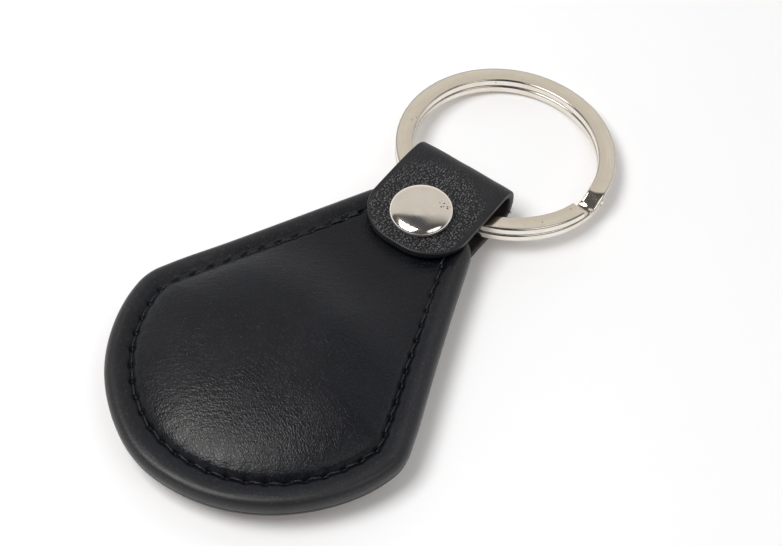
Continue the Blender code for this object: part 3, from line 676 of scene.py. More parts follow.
# %% Node groups
def new_group(name, outputs, **inputs):
    """A shader node group with a Place, numbers with their defaults, and outputs that are all numbers.
    Returns the group, the sockets that come in and the node that they leave by."""
    group = bpy.data.node_groups.new(name, "ShaderNodeTree")
    group.interface.new_socket(name="Place", in_out="INPUT", socket_type="NodeSocketVector")
    for label, default in inputs.items():
        socket = group.interface.new_socket(name=label, in_out="INPUT", socket_type="NodeSocketFloat")
        socket.default_value = default
    for label in outputs:
        group.interface.new_socket(name=label, in_out="OUTPUT", socket_type="NodeSocketFloat")
    return group, group.nodes.new("NodeGroupInput").outputs, group.nodes.new("NodeGroupOutput")


def use_group(group, place, **inputs):
    """Sets a node group into the tree of a place and returns its outputs."""
    return node(place.id_data, "Group", {"node_tree": group}, Place=place, **inputs)


def pebbled_grain(name, space):
    """Leather grain: irregular pebbles from the distance to Voronoi cell edges, on a warped place. In "3D" it
    suits any surface, and in "2D" a flat sheet, where every cell then lies in the sheet and shows its tip."""
    group, entry, leave = new_group(name, ("Height", "Valley", "Tip"), Cell=0.0005, Round=0.3)
    place, scale = entry["Place"], math_node("DIVIDE", 1.0, entry["Cell"])
    shift = vector_node("SUBTRACT", noise(place, times(scale, 0.55), 2.0, output="Color"), (0.5, 0.5, 0.5))
    warped = vector_node("ADD", place, vector_node("SCALE", shift, Scale=times(entry["Cell"], 1.6)))
    edge, cell = (node(group, "TexVoronoi", {"feature": feature, "voronoi_dimensions": space}, Vector=warped,
                       Scale=scale) for feature in ("DISTANCE_TO_EDGE", "F1"))
    pebble = ramp(edge["Distance"], 0.0, entry["Round"])
    chance = node(group, "SeparateColor", Color=cell["Color"])[0]
    fill(leave, Height=plus(times(pebble, 0.7), times(noise(place, times(scale, 3.0), 3.0), 0.3)),
         Valley=math_node("SUBTRACT", 1.0, pebble),
         Tip=times(ramp(cell["Distance"], 0.42, 0.12), ramp(chance, -0.2, 1.0)))
    return group


def soft_creases():
    """Long shallow folds: a noise stretched along one direction, folded about its middle."""
    group, entry, leave = new_group("soft_creases", ("Height",), Heading=0.6, Width=0.0012)
    heading = node(group, "CombineXYZ", Z=entry["Heading"])[0]
    turned = node(group, "Mapping", {"vector_type": "TEXTURE"}, Vector=entry["Place"], Rotation=heading,
                  Scale=(4.0, 1.0, 1.0))[0]
    cloud = noise(turned, math_node("DIVIDE", 1.0, entry["Width"]), 2.0, 0.45)
    fill(leave, Height=ramp(math_node("ABSOLUTE", math_node("SUBTRACT", cloud, 0.5)), 0.0, 0.1))
    return group


def handling_marks():
    """Where hands have polished or dulled a surface: soft clouds of several sizes, between 0 and 1."""
    group, entry, leave = new_group("handling_marks", ("Amount",), Size=0.008)
    fill(leave, Amount=ramp(noise(entry["Place"], math_node("DIVIDE", 1.0, entry["Size"]), 5.0, 0.6), 0.3, 0.7))
    return group


def metal_marks():
    """Fine scratches along a direction and a few dark specks. Place has that direction along X."""
    group, entry, leave = new_group("metal_marks", ("Scratches", "Specks"), Fineness=0.0002, Spotted=0.0)
    scale = math_node("DIVIDE", 1.0, entry["Fineness"])
    lines = noise(vector_node("MULTIPLY", entry["Place"], (0.03, 1.0, 1.0)), scale, 4.0, 0.7)
    dots = node(group, "TexVoronoi", Vector=entry["Place"], Scale=times(scale, 0.45))
    pick = node(group, "SeparateColor", Color=dots["Color"])[0]
    rare = math_node("GREATER_THAN", pick, ramp(entry["Spotted"], 0, 1, 0.99, 0.2))
    dot = math_node("SUBTRACT", 1.0, ramp(dots["Distance"], 0.20, 0.46))
    fill(leave, Scratches=ramp(lines, 0.35, 0.65), Specks=times(rare, dot))
    return group


GRAIN, SHEET_GRAIN = pebbled_grain("pebbled_grain", "3D"), pebbled_grain("sheet_grain", "2D")
CREASES, HANDLING, METAL_MARKS = soft_creases(), handling_marks(), metal_marks()
print("node groups:", [group.name for group in bpy.data.node_groups])

# %% [markdown]
# ## Black cover leather
# The covers are smooth aniline-black leather. Close up it has fine pebbles about a third of a millimetre across,
# soft slanting creases where it is stretched, and a satin gloss that is duller in the valleys.
# A flat black would look like plastic, so the grain drives the bump, the roughness and a little of the colour.
# That colour holds painted light: painted shade in the valleys, painted glints on the pebble tips, and a painted
# sheen, with real wear, on the flange and the edges.

# %% Cover leather
COVER_PEBBLE, COVER_CREASE, COVER_DEPTH = 0.34 * MM, 1.1 * MM, 0.018 * MM
COVER_BLACK, COVER_HANDLED, COVER_CLOUD = (0.0020, 0.0030, 0.0060), (0.0055, 0.0058, 0.0075), (0.0042, 0.0058, 0.0125)
COVER_VALLEY_SHADE, COVER_WEAR_AND_SHEEN, COVER_TIP_GLINT = (0.0015, 0.0018, 0.0030), (0.025, 0.0255, 0.0275), (0.055, 0.056, 0.058)


def cover_leather():
    """Grain by the piece's own grain value, creases on the puff, handling marks in the gloss, painted shade and glints
    in the grain, and a painted sheen on the edges.
    """
    finish, tree, shader = new_finish("black_cover_leather")
    place, amount = object_place(tree), attribute(tree, "grain")
    drawn = node(tree, "Mapping", {"vector_type": "TEXTURE"}, Vector=place, Rotation=(0, 0, -0.45),
                 Scale=(1.7, 1.0, 1.0))[0]
    grain = use_group(GRAIN, drawn, Cell=COVER_PEBBLE)
    crease = use_group(CREASES, place, Heading=0.75, Width=COVER_CREASE)["Height"]
    marks, clouds = (use_group(HANDLING, place, Size=size)["Amount"] for size in (6 * MM, 12 * MM))
    height = plus(times(grain["Height"], plus(amount, 0.15)), times(ramp(amount, 0.4, 1.0), 0.55, crease))
    # Painted shade: the grain's valleys are painted darker.
    valley = times(grain["Valley"], amount)
    # Wear and painted sheen: the wall, roll and flange are painted lighter, partly for real wear of the edges and
    # partly as a sheen that the lamps don't give them.
    worn = ramp(amount, 0.35, 0.7, 1.0, 0.0)
    # Painted glints: the pebble tips on the flange and the roll are painted lighter.
    glint_tips = times(grain["Tip"], ramp(amount, 0.45, 0.9, 0.5, 0.0))
    colour = mix_colours(marks, COVER_BLACK, COVER_HANDLED, (clouds, COVER_CLOUD), (valley, COVER_VALLEY_SHADE),
                         (worn, COVER_WEAR_AND_SHEEN), (glint_tips, COVER_TIP_GLINT))
    rough = plus(ramp(marks, 0, 1, 0.25, 0.32), times(valley, 0.10), times(worn, 0.08))
    fill(shader, Base_Color=colour, Roughness=rough, Specular_IOR_Level=0.31, Normal=bump(height, COVER_DEPTH))
    return finish


COVER_LEATHER = cover_leather()
for cover, cad_node, firmness in ((front_cover, "front_cover", 0.85), (rear_cover, "rear_cover", 0.7)):
    finish_piece(cover, "fob", "black_leather", COVER_LEATHER, cad_node)

# %% [markdown]
# ## Stitches
# One black thread runs round both covers. Each stitch is a short twisted cord that comes up through one needle
# hole, lies in the channel and goes down the next. A dashed texture would stay flat, so every stitch is a tube:
# its middle line follows the seam, arches over the channel and dives at both ends, and its two plies twist.

# %% Stitches
THREAD_RADIUS, THREAD_SINK, STITCH_HALF = 0.155 * MM, 0.16 * MM, 1.12 * MM
STITCH_SLANT, STITCH_WANDER, STITCH_ARCH, STITCH_DIVE = 0.12 * MM, 0.06 * MM, 0.08 * MM, 0.5 * MM
STITCH_RINGS, THREAD_SIDES, THREAD_FLATNESS, PLY_DEPTH, PLY_TWIST = 22, 10, 1.15, 0.14, 9
STITCHES_END = RIVET_DISTANCE - 2 * MM


def seam_point(place):
    """The point of the seam line at a distance along it."""
    closed, distances = np.vstack([seam_line, seam_line[:1]]), np.append(seam_place, SEAM_LENGTH)
    return np.stack([np.interp(place % SEAM_LENGTH, distances, closed[:, axis]) for axis in range(2)], -1)


def stitch_tubes(name, level, side):
    """All stitches of one face: level is the thread's height in its channel, side +1 up, -1 down.
    The radius swells and shrinks twice round the thread and once along it, which reads as two plies."""
    middles = (np.arange(hole_count) + 0.5) * hole_pitch
    middles = middles[seam_point(middles)[:, 1] < STITCHES_END]
    jitter = np.random.default_rng(7).normal(0, 1, (len(middles), 3))
    u = np.linspace(-1, 1, STITCH_RINGS)
    place = middles[:, None] + u * STITCH_HALF
    ahead = seam_point(place + 0.1 * MM) - seam_point(place - 0.1 * MM)
    outwards = (ahead / np.linalg.norm(ahead, axis=-1, keepdims=True))[..., ::-1] * [1, -1]
    slant = STITCH_SLANT * u + STITCH_WANDER * jitter[:, :1]
    arch = STITCH_ARCH * (1 - u ** 2) * (1 + 0.5 * jitter[:, 1:2]) - STITCH_DIVE * np.abs(u) ** 4
    centre = raised(seam_point(place) + outwards * slant[..., None], level + side * arch)
    theta = np.linspace(0, math.tau, THREAD_SIDES, endpoint=False)[:, None]
    taper = np.sqrt(np.clip(1 - np.abs(u) ** 8, 0.08, 1))[:, None]
    radius = THREAD_RADIUS * taper * (1 + PLY_DEPTH * np.cos(2 * theta.T - PLY_TWIST * u[:, None]))
    flat = np.concatenate([outwards, 0 * outwards[..., :1]], -1)
    ring = (flat[:, :, None] * np.cos(theta) * THREAD_FLATNESS + UP * np.sin(theta)) * radius[None, :, :, None]
    return tube_bundle(name, centre[:, :, None] + ring, centre[:, 0], centre[:, -1])


def black_thread():
    """Waxed thread: near black, its fibres a fine streak, with a little sheen."""
    finish, tree, shader = new_finish("black_thread")
    streak = noise(object_place(tree), 9000.0, 2.0)
    colour = mix_colours(streak, (0.003, 0.003, 0.004), (0.014, 0.014, 0.016))
    fill(shader, Base_Color=colour, Roughness=ramp(streak, 0.3, 0.7, 0.32, 0.6), Specular_IOR_Level=0.35,
         Normal=bump(streak, 0.06 * MM))
    return finish


BLACK_THREAD = black_thread()
for name, level, side in (("front_stitches", SEAM_HEIGHT - THREAD_SINK, 1),
                          ("rear_stitches", FLANGE_UNDERSIDE + THREAD_SINK, -1)):
    finish_piece(stitch_tubes(name, level, side), "fob", "black_leather", BLACK_THREAD)

# %% [markdown]
# ## Foam pads
# Under each cover lies a pad of soft foam, with a round room in the front one for the tag.
# The pads are closed skins too: from the floor's edge over the crown, and back through the room or the floor.

# %% Foam pads
BOARD_UNDERSIDE, BOARD_TOP, LAYER_GAP = 3.7 * MM, 4.25 * MM, 0.2 * MM
TAG_RADIUS, TAG_THICKNESS, TAG_GAP = 11.5 * MM, 1.0 * MM, 0.2 * MM
PAD_SETBACK, PAD_NECK_SETBACK, PAD_GAP, PAD_LEAST = 1.9 * MM, 4.5 * MM, 0.25 * MM, 0.05 * MM
PAD_LOOPS, PAD_CROWDING, FOAM_WAVES = 22, 1.5, (0.02 * MM, 2 * MM, 31)
ROOM_HEIGHT, ROOM_SHARES, FLOOR_SHARES = TAG_THICKNESS + TAG_GAP, (0.1, 0.5, 1.0), (0.1, 0.4, 0.7, 0.92)

pad_edge = teardrop(SEAM_INSET + PAD_SETBACK, PUFF_END + SEAM_INSET - PAD_NECK_SETBACK)[::4]
pad_angle = reach_and_angle(pad_edge)[1]


def pad_crown(base, side, form, leather):
    """Rows from the pad's edge up to its crown, which stays a gap under its leather."""
    yield pad_edge, base
    for share in 1 - np.linspace(0, 1, PAD_LOOPS)[:-1] ** PAD_CROWDING:
        plan = shrunk(pad_edge, share)
        crown = np.maximum(puff_height(plan, form, leather) - PAD_GAP, PAD_LEAST)
        yield plan, base + side * (crown + ripple(plan, *FOAM_WAVES))


def tag_room(base):
    """Rows from the middle of the room's ceiling down its wall, and out over the floor."""
    wall = (TAG_RADIUS + TAG_GAP) * np.stack([np.cos(pad_angle), np.sin(pad_angle)], -1)
    for share in ROOM_SHARES:
        circle = share * wall + [0, PUFF_CENTRE]
        yield circle, base + ROOM_HEIGHT
    yield circle, base
    yield (circle + pad_edge) / 2, base


def soft_foam():
    """Open-cell foam: pale and dull, its small cells' hollows painted darker as shade."""
    finish, tree, shader = new_finish("soft_foam")
    # Painted shade: the hollows of the cells are painted dark.
    hollow = ramp(node(tree, "TexVoronoi", Vector=object_place(tree), Scale=3500.0)["Distance"], 0.1, 0.55)
    fill(shader, Base_Color=mix_colours(hollow, (0.32, 0.31, 0.28), (0.62, 0.61, 0.57)), Roughness=0.95,
         Normal=bump(hollow, 0.08 * MM))
    return finish


FOAM = soft_foam()
front_base, rear_base = BOARD_TOP + LAYER_GAP, BOARD_UNDERSIDE - LAYER_GAP
rear_floor = [(shrunk(pad_edge, share), rear_base) for share in FLOOR_SHARES]
pads = {"front_pad": puff_piece("front_foam_pad", pad_crown(front_base, 1, FRONT_FORM, FRONT_LEATHER),
                                tag_room(front_base), front_base + ROOM_HEIGHT),
        "rear_pad": puff_piece("rear_foam_pad", pad_crown(rear_base, -1, REAR_FORM, REAR_LEATHER), rear_floor,
                               rear_base)}
for cad_node, pad in pads.items():
    finish_piece(pad, "fob", "foam", FOAM, cad_node)

# %% [markdown]
# ## The strap
# One strip of leather runs from its tip over the rivet, round the ring and back under the fob.
# It is made as it is cut: first the flat strip's outline, with blunt round tips, then a sheet with softly rounded
# edges over it, and last the bend, which carries each point of the strip along the folded path.
# Because every point keeps its flat place as a value, the grain bends with the leather.

# %% The strap's folded path
STRAP_WIDTH, STRAP_THICKNESS = 14.9 * MM, 1.15 * MM
TIP_REACH, TIP_DEPTH, TIP_SHARE = 6.05 * MM, 5.9 * MM, 0.14
LOOP_REACH, FOLD_LEAN, FOLD_SAG = 11.06 * MM, 0.2, 0.45 * MM
FRONT_LEG, REAR_LEG = 6.525 * MM, 1.975 * MM
CAP_RADIUS, RIVET_GAP = 4.2 * MM, 0.12 * MM
FOLD_POINTS, PATH_POINTS, AVERAGED = 90, 360, 19


def steps_along(line):
    """The distance from a line's start to each of its points."""
    return np.append(0, np.cumsum(np.linalg.norm(np.diff(line, axis=0), axis=1)))


def strap_path():
    """The middle line as (y, z) from the rivet's axis: front leg, fold, rear leg. The fold is a half circle
    whose upper half leans out and whose lower half sags, evened out afterwards by a moving average."""
    radius, middle = (FRONT_LEG - REAR_LEG) / 2, (FRONT_LEG + REAR_LEG) / 2
    angle = np.linspace(QUARTER, -QUARTER, FOLD_POINTS)
    rise = np.sin(angle)
    fold_y = LOOP_REACH - STRAP_THICKNESS / 2 - radius
    fold = np.stack([fold_y + radius * (np.cos(angle) + FOLD_LEAN * np.maximum(rise, 0)),
                     middle + radius * rise + FOLD_SAG * np.minimum(rise, 0)], 1)
    corners = np.vstack([[-TIP_REACH, FRONT_LEG], fold, [CAP_RADIUS + RIVET_GAP, REAR_LEG], [-TIP_REACH, REAR_LEG]])
    distance = steps_along(corners)
    even = np.linspace(0, distance[-1], PATH_POINTS)
    line = np.stack([np.interp(even, distance, corners[:, axis]) for axis in range(2)], 1)
    window = np.hanning(AVERAGED)[1:-1]
    reach = len(window) // 2
    padded = np.vstack([2 * line[0] - line[reach:0:-1], line, 2 * line[-1] - line[-2:-reach - 2:-1]])
    return np.stack([np.convolve(padded[:, axis], window / window.sum(), "valid") for axis in range(2)], 1)


path = strap_path()
path_place = steps_along(path)
STRIP_LENGTH, FOLD_PLACE = path_place[-1], path_place[path[:, 0].argmax()]
path_heading = np.gradient(path, path_place, axis=0)
path_heading /= np.linalg.norm(path_heading, axis=1, keepdims=True)
print("strip", round(STRIP_LENGTH / MM, 1), "mm long before it is folded")

# %% The flat strip and its bend
STRAP_EDGE, STRIP_STEP, SPINE_START = 0.3 * MM, 0.28 * MM, 3.6 * MM
FOLD_PINCH, PINCH_LENGTH = 0.38 * MM, 3.4 * MM
MOAT_DEPTH, MOAT_RADIUS, MOAT_WIDTH = 0.13 * MM, 4.6 * MM, 0.9 * MM
EDGE_FALL, FACE_WAVES, SUEDE_WAVES = 0.10 * MM, (0.03 * MM, 5 * MM, 41), (0.02 * MM, 0.9 * MM, 51)
TOP_LOOPS, CORNER_LOOPS, UNDER_LOOPS = 22, 6, 16


def half_strip():
    """Right half of the flat outline, from one tip's middle to the other's, as (along, across)."""
    half = STRAP_WIDTH / 2
    blunt = TIP_SHARE * half
    flat_end = np.stack([np.zeros(9), np.linspace(0, blunt, 9)], 1)
    angle = np.linspace(0, QUARTER, 30)[1:]
    rounded = np.stack([TIP_DEPTH * (1 - np.cos(angle)), blunt + (half - blunt) * np.sin(angle)], 1)
    count = round((STRIP_LENGTH - 2 * TIP_DEPTH) / STRIP_STEP)
    along = np.linspace(TIP_DEPTH, STRIP_LENGTH - TIP_DEPTH, count + 1)[1:-1]
    tip = np.vstack([flat_end, rounded])
    side = np.stack([along, np.full(len(along), half)], 1)
    return np.vstack([tip, side, (tip * [-1, 1] + [STRIP_LENGTH, 0])[::-1]])


def strap_to_frame(local):
    """Turns points from the strap's own axes, about the rivet, into the row frame."""
    return rivet_axis + local @ np.stack([hinge_axis, strap_forwards, UP])


def bend(flat, height):
    """Carries points of the strip, and their height above its middle, onto the folded path:
    point = path(along) + height times the path's normal, and the strip's across stays across."""
    along = np.clip(flat[..., 0], 0, STRIP_LENGTH)
    y, z = (np.interp(along, path_place, path[:, axis]) for axis in range(2))
    step_y, step_z = (np.interp(along, path_place, path_heading[:, axis]) for axis in range(2))
    beyond = flat[..., 0] - along
    return strap_to_frame(np.stack([flat[..., 1], y + beyond * step_y - height * step_z,
                                    z + beyond * step_z + height * step_y], -1))


def strap_relief(flat):
    """Height changes of the outer face: pressed in round the cap, slightly crowned, gently uneven."""
    caps = (TIP_REACH, STRIP_LENGTH - TIP_REACH)
    away = np.minimum(*(np.hypot(flat[:, 0] - place, flat[:, 1]) for place in caps))
    crown = EDGE_FALL * (np.abs(flat[:, 1]) / (STRAP_WIDTH / 2)) ** 4
    return ripple(flat, *FACE_WAVES) - MOAT_DEPTH * bell(away - MOAT_RADIUS, MOAT_WIDTH) - crown


def strap_rows():
    """Rows of flat place, height and side from the spine out over the outer face, round the edge and back
    inside. side is 1 on the outer face, -1 on the inner one and between them on the cut edge."""
    half = half_strip()
    flat = np.vstack([half, half[-2:0:-1] * [1, -1]])
    left = smooth_step(-flat[:, 1] / (STRAP_WIDTH / 2) - 0.2)
    flat[:, 1] += FOLD_PINCH * left * bell(flat[:, 0] - FOLD_PLACE, PINCH_LENGTH)
    ahead = np.roll(flat, -1, 0) - np.roll(flat, 1, 0)
    inwards = ahead[:, ::-1] * [1, -1] / np.linalg.norm(ahead, axis=1, keepdims=True)
    spine = np.stack([np.clip(flat[:, 0], SPINE_START, STRIP_LENGTH - SPINE_START), np.zeros(len(flat))], 1)
    rim, half_thick = flat + inwards * STRAP_EDGE, STRAP_THICKNESS / 2
    for share in np.linspace(0, 1, TOP_LOOPS):
        plan = spine + share * (rim - spine)
        yield plan, half_thick + strap_relief(plan), 1.0
    corner = np.linspace(0, QUARTER, CORNER_LOOPS)[1:]
    for sign, angles in ((1, corner), (-1, corner[::-1])):
        for angle in angles:
            plan = flat + inwards * STRAP_EDGE * (1 - math.sin(angle))
            relief = strap_relief(plan) * (1 - math.sin(angle)) if sign > 0 else 0
            yield (plan, sign * (half_thick - STRAP_EDGE * (1 - math.cos(angle))) + relief,
                   sign * math.cos(angle) / 2)
    for share in np.linspace(1, 0, UNDER_LOOPS):
        plan = spine + share * (rim - spine)
        yield plan, ripple(plan, *SUEDE_WAVES) - half_thick, -1.0


def make_strap():
    """The bent rows as one sheet. Its two halves meet on the spine, where their points are merged."""
    rows = list(strap_rows())
    loops = np.array([bend(plan, height) for plan, height, _ in rows])
    plans = np.array([plan for plan, *_ in rows])
    values = {"flat_place": np.concatenate([plans, 0 * plans[..., :1]], -1),
              "sheet_side": [[side] * loops.shape[1] for *_, side in rows]}
    piece = make_piece("strap_leather_loop", loops.reshape(-1, 3), bands(*loops.shape[:2])[:-1], [], values)
    built = bmesh.new()
    built.from_mesh(piece.data)
    bmesh.ops.remove_doubles(built, verts=built.verts, dist=1e-6)
    print("edges of the strap that don't join two faces:", sum(len(edge.link_faces) != 2 for edge in built.edges))
    built.to_mesh(piece.data)
    built.free()
    piece.data.shade_smooth()
    return piece


strap = make_strap()

# %% [markdown]
# ## Strap leather
# The strap is thicker leather with three faces. Its outside is pebbled round the rivet and rubbed smooth along
# the edges and over the fold, its inside is brushed suede, and its cut edges are dyed and a little shiny.
# The sheet's own values say which face a point is on, so one material can carry all three.
# On the outside the pebbles' tips are painted light as glints, and their valleys painted darker as shade.

# %% Strap leather
STRAP_PEBBLE, STRAP_DEPTH = 0.32 * MM, 0.1 * MM
STRAP_BLACK, STRAP_HANDLED, STRAP_PEBBLED = (0.0095, 0.0105, 0.0140), (0.0150, 0.0155, 0.0175), (0.0045, 0.0050, 0.0065)
STRAP_VALLEY_SHADE, STRAP_TIP_GLINT = (0.003, 0.003, 0.004), (0.165, 0.17, 0.185)
SUEDE_DARK, SUEDE_PALE = (0.006, 0.005, 0.0045), (0.060, 0.050, 0.044)


def strap_finish():
    """Mixes grain side, cut edge and suede by the sheet_side value, on the flat place of each point, with painted
    glints on the pebble tips and painted shade in their valleys.
    """
    finish, tree, shader = new_finish("black_strap_leather")
    flat, side = attribute(tree, "flat_place", "Vector"), attribute(tree, "sheet_side")
    suede_side = ramp(side, -0.3, -0.8)
    far = vector_node("LENGTH", vector_node("SUBTRACT", flat, (TIP_REACH, 0, 0)))
    across = math_node("ABSOLUTE", node(tree, "SeparateXYZ", Vector=flat)[1])
    edge = ramp(across, STRAP_WIDTH / 2 - 1.1 * MM, STRAP_WIDTH / 2 - 0.5 * MM, 1.0, 0.1)
    zone = times(ramp(far, 6.6 * MM, 9.4 * MM, 1.0, 0.1), edge, ramp(side, 0.45, 0.9))
    grain = use_group(SHEET_GRAIN, flat, Cell=STRAP_PEBBLE, Round=0.45)
    marks = use_group(HANDLING, flat, Size=4 * MM)["Amount"]
    nap = noise(flat, 7000.0, 4.0, 0.7)
    # Painted shade: the valleys between the pebbles are painted darker.
    valley = times(grain["Valley"], zone)
    # Painted glints: the pebble tips round the rivet are painted light.
    colour = mix_colours(marks, STRAP_BLACK, STRAP_HANDLED, (zone, STRAP_PEBBLED), (valley, STRAP_VALLEY_SHADE),
                         (times(grain["Tip"], zone), STRAP_TIP_GLINT),
                         (suede_side, mix_colours(nap, SUEDE_DARK, SUEDE_PALE)))
    rough = plus(ramp(marks, 0, 1, 0.36, 0.46), times(valley, 0.12), times(suede_side, 0.45))
    height = plus(times(nap, suede_side), times(nap, 0.12), times(grain["Height"], zone))
    fill(shader, Base_Color=colour, Roughness=rough, Specular_IOR_Level=0.34, Normal=bump(height, STRAP_DEPTH))
    return finish


STRAP_LEATHER = strap_finish()
finish_piece(strap, None, "strap_leather", STRAP_LEATHER, "strap")

# %% [markdown]
# ## Loose fibres
# The strap's cut edge is not sealed: short suede fibres stand out of it inside the fold, and one tuft sticks out
# low on the fold's right. A bump can't stand out against the bright floor, so each fibre is a thin drooping tube.

# %% Suede fibres
FIBRE_RADIUS, FIBRE_LEAN, FIBRE_TAPER, FIBRE_CURL = 0.028 * MM, 0.55, 0.8, 1.5
EDGE_FIBRES, EDGE_LENGTHS, TUFT_FIBRES, TUFT_LENGTHS, TUFT_SPREAD = 90, (0.10, 0.34), 16, (0.35, 0.75), 0.14 * MM
TUFT_PLACE = path_place[np.hypot(*(path - [10.0 * MM, 2.5 * MM]).T).argmin()]


def suede_fibres():
    """Tubes that leave the right cut edge: across grows with the length, and seeded leans bend them aside."""
    draw = np.random.default_rng(61)
    along = np.append(draw.uniform(FOLD_PLACE - 1.5 * MM, STRIP_LENGTH - 4 * MM, EDGE_FIBRES),
                      draw.normal(TUFT_PLACE, TUFT_SPREAD, TUFT_FIBRES))[:, None]
    length = np.append(draw.uniform(*EDGE_LENGTHS, EDGE_FIBRES), draw.uniform(*TUFT_LENGTHS, TUFT_FIBRES))[:, None] * MM
    height = draw.uniform(-0.5, 0.1, along.shape) * STRAP_THICKNESS
    lean = draw.normal(0, FIBRE_LEAN, (2, *along.shape))
    share = np.linspace(0, 1, 6)
    aside, above = lean * length * share ** FIBRE_CURL
    plan = np.stack([along + aside, STRAP_WIDTH / 2 - 0.1 * MM + length * share], -1)
    middle = bend(plan, height + above)
    theta = np.arange(3) * math.tau / 3
    turned = strap_to_frame(np.stack([0 * theta, np.cos(theta), np.sin(theta)], -1)) - rivet_axis
    tubes = middle[:, :, None] + turned * (FIBRE_RADIUS * (1 - FIBRE_TAPER * share))[:, None, None]
    flat = np.concatenate([plan, 0 * plan[..., :1]], -1)
    flat = np.vstack([np.repeat(flat.reshape(-1, 3), 3, 0), flat[:, 0], flat[:, -1]])
    return tube_bundle("strap_fibres", tubes, middle[:, 0], middle[:, -1],
                       {"flat_place": flat, "sheet_side": np.full(len(flat), -1.0)})


fibres = suede_fibres()
finish_piece(fibres, None, "strap_leather", STRAP_LEATHER)

# %% [markdown]
# ## The rivet's caps
# A double-cap rivet shows a low polished dome on each side, pressed from thin sheet with a rolled rim.
# A dome is a profile turned about an axis, so one row of radii and heights makes the whole cap.

# %% Rivet caps
CAP_WALL, CAP_EDGE_SHARE, CAP_SHOULDER = 0.3 * MM, 0.3, math.radians(84.0)
FRONT_RIM, FRONT_CROWN = 7.12 * MM, 8.48 * MM
REAR_RIM, REAR_CROWN = 1.28 * MM, 0.1 * MM
CAP_SEGMENTS = 144
PITTED_PLACE = (2.0 * MM, 10.7 * MM, 8.1 * MM)
NICKEL_DARK, NICKEL_PALE, NICKEL_RIM_HIGHLIGHT, NICKEL_SPECK = ((0.81, 0.74, 0.64), (0.86, 0.79, 0.70), (0.96, 0.94, 0.90),
                                                      (0.12, 0.10, 0.085))


def make_cap(name, rim, crown):
    """An ellipse's arc from the crown, a rolled rim of half a turn and the inner side back, turned about the
    rivet's axis: point = axis + radius times direction + height."""
    sign, height = math.copysign(1, crown - rim), abs(crown - rim)
    edge = CAP_EDGE_SHARE * height
    bead = edge / 2
    angle = np.linspace(0, 1, 34)[1:] * CAP_SHOULDER
    around, inner = np.linspace(0, math.pi, 12), angle[::-3]
    radii = [CAP_RADIUS * np.sin(angle), CAP_RADIUS - bead + bead * np.cos(around),
             (CAP_RADIUS - CAP_WALL) * np.sin(inner) * 0.97]
    heights = [edge + (height - edge) * np.cos(angle), bead - bead * np.sin(around),
               edge + (height - edge - CAP_WALL) * np.cos(inner)]
    radii, heights = (np.concatenate(parts)[:, None, None] for parts in (radii, heights))
    turn = np.linspace(0, math.tau, CAP_SEGMENTS, endpoint=False)
    direction = np.stack([np.cos(turn), np.sin(turn), 0 * turn], 1)
    loops = rivet_axis + radii * direction + (rim + sign * heights) * UP
    return skin(name, loops, *(rivet_axis + (rim + sign * top) * UP for top in (height, height - CAP_WALL)))


def polished_nickel():
    """Bright plated metal: fine scratches and soft stains in the gloss, a few dark specks, and a painted highlight
    along the rim.
    """
    finish, tree, shader = new_finish("polished_nickel")
    place = object_place(tree)
    pitted = ramp(vector_node("DISTANCE", place, PITTED_PLACE), 0.3 * MM, 1.5 * MM, 1, 0)
    marks = use_group(METAL_MARKS, place, Fineness=0.18 * MM, Spotted=pitted)
    stains = use_group(HANDLING, place, Size=2.2 * MM)["Amount"]
    flat = vector_node("MULTIPLY", vector_node("SUBTRACT", place, rivet_axis), (1, 1, 0))
    # Painted highlight: a pale line along the rolled rim.
    rim = ramp(vector_node("LENGTH", flat), CAP_RADIUS - 0.17 * MM, CAP_RADIUS - 0.09 * MM)
    colour = mix_colours(stains, NICKEL_DARK, NICKEL_PALE, (rim, NICKEL_RIM_HIGHLIGHT), (marks["Specks"], NICKEL_SPECK))
    rough = plus(ramp(stains, 0, 1, 0.13, 0.09), times(marks["Specks"], 0.4), times(rim, 0.2))
    fill(shader, Base_Color=colour, Metallic=1.0, Roughness=rough, Normal=bump(marks["Scratches"], 0.0006 * MM))
    return finish


NICKEL = polished_nickel()
for name, rim, crown, cad_node in (("rivet_front_dome", FRONT_RIM, FRONT_CROWN, "rivet_front_cap"),
                                   ("rivet_rear_dome", REAR_RIM, REAR_CROWN, "rivet_rear_cap")):
    finish_piece(make_cap(name, rim, crown), "strap", "nickel", NICKEL, cad_node)

# %% [markdown]
# ## The split ring
# The ring is flat wire wound almost twice, with square ends and a short ramp where it changes from the
# upper coil to the lower. We carry the wire's rounded section along that path.
# Two stacked circles would look right only from far away: the step and the ends are what make it a split ring.

# %% Split ring
RING_RADIUS, RING_HEIGHT, RING_REACH, RING_SHIFT = 15.1 * MM, 2.4 * MM, 14.05 * MM, 1.39 * MM
WIRE_WIDTH, WIRE_THICKNESS = 2.4 * MM, 1.15 * MM
CRISP_EDGE, ROUND_EDGE, INNER_EDGE = 0.16 * MM, 0.36 * MM, 0.26 * MM
WIRE_RADIUS = RING_RADIUS - WIRE_WIDTH / 2
END_ANGLE, WIRE_TURN, RAMP_START, RAMP_TURN, ROLL_ANGLE = np.radians([-12.6, 703.5, 343.0, 14.5, 17.0])
ROLL_RISE, ROLL_FALL = np.radians([341.0, 346.5]), np.radians([351.5, 354.5])
RING_STEPS, RAMP_STEPS, RAMP_MARGIN = 1400, 30, 0.02
CORNER_POINTS, FLAT_POINTS = 9, 10
SPRUNG = ((0.38, -14, 34), (-0.22, 72, 40), (0.08, 150, 30))
WORN_PLACE, WORN_SPREAD = -25, 60

lean_arm = RING_REACH + RING_RADIUS
RING_LEAN = (math.asin(hinge_place[2] / math.hypot(lean_arm, RING_HEIGHT / 2))
             - math.atan2(RING_HEIGHT / 2, lean_arm))
print("ring leans", round(math.degrees(RING_LEAN), 2), "degrees down to the surface at its far side")


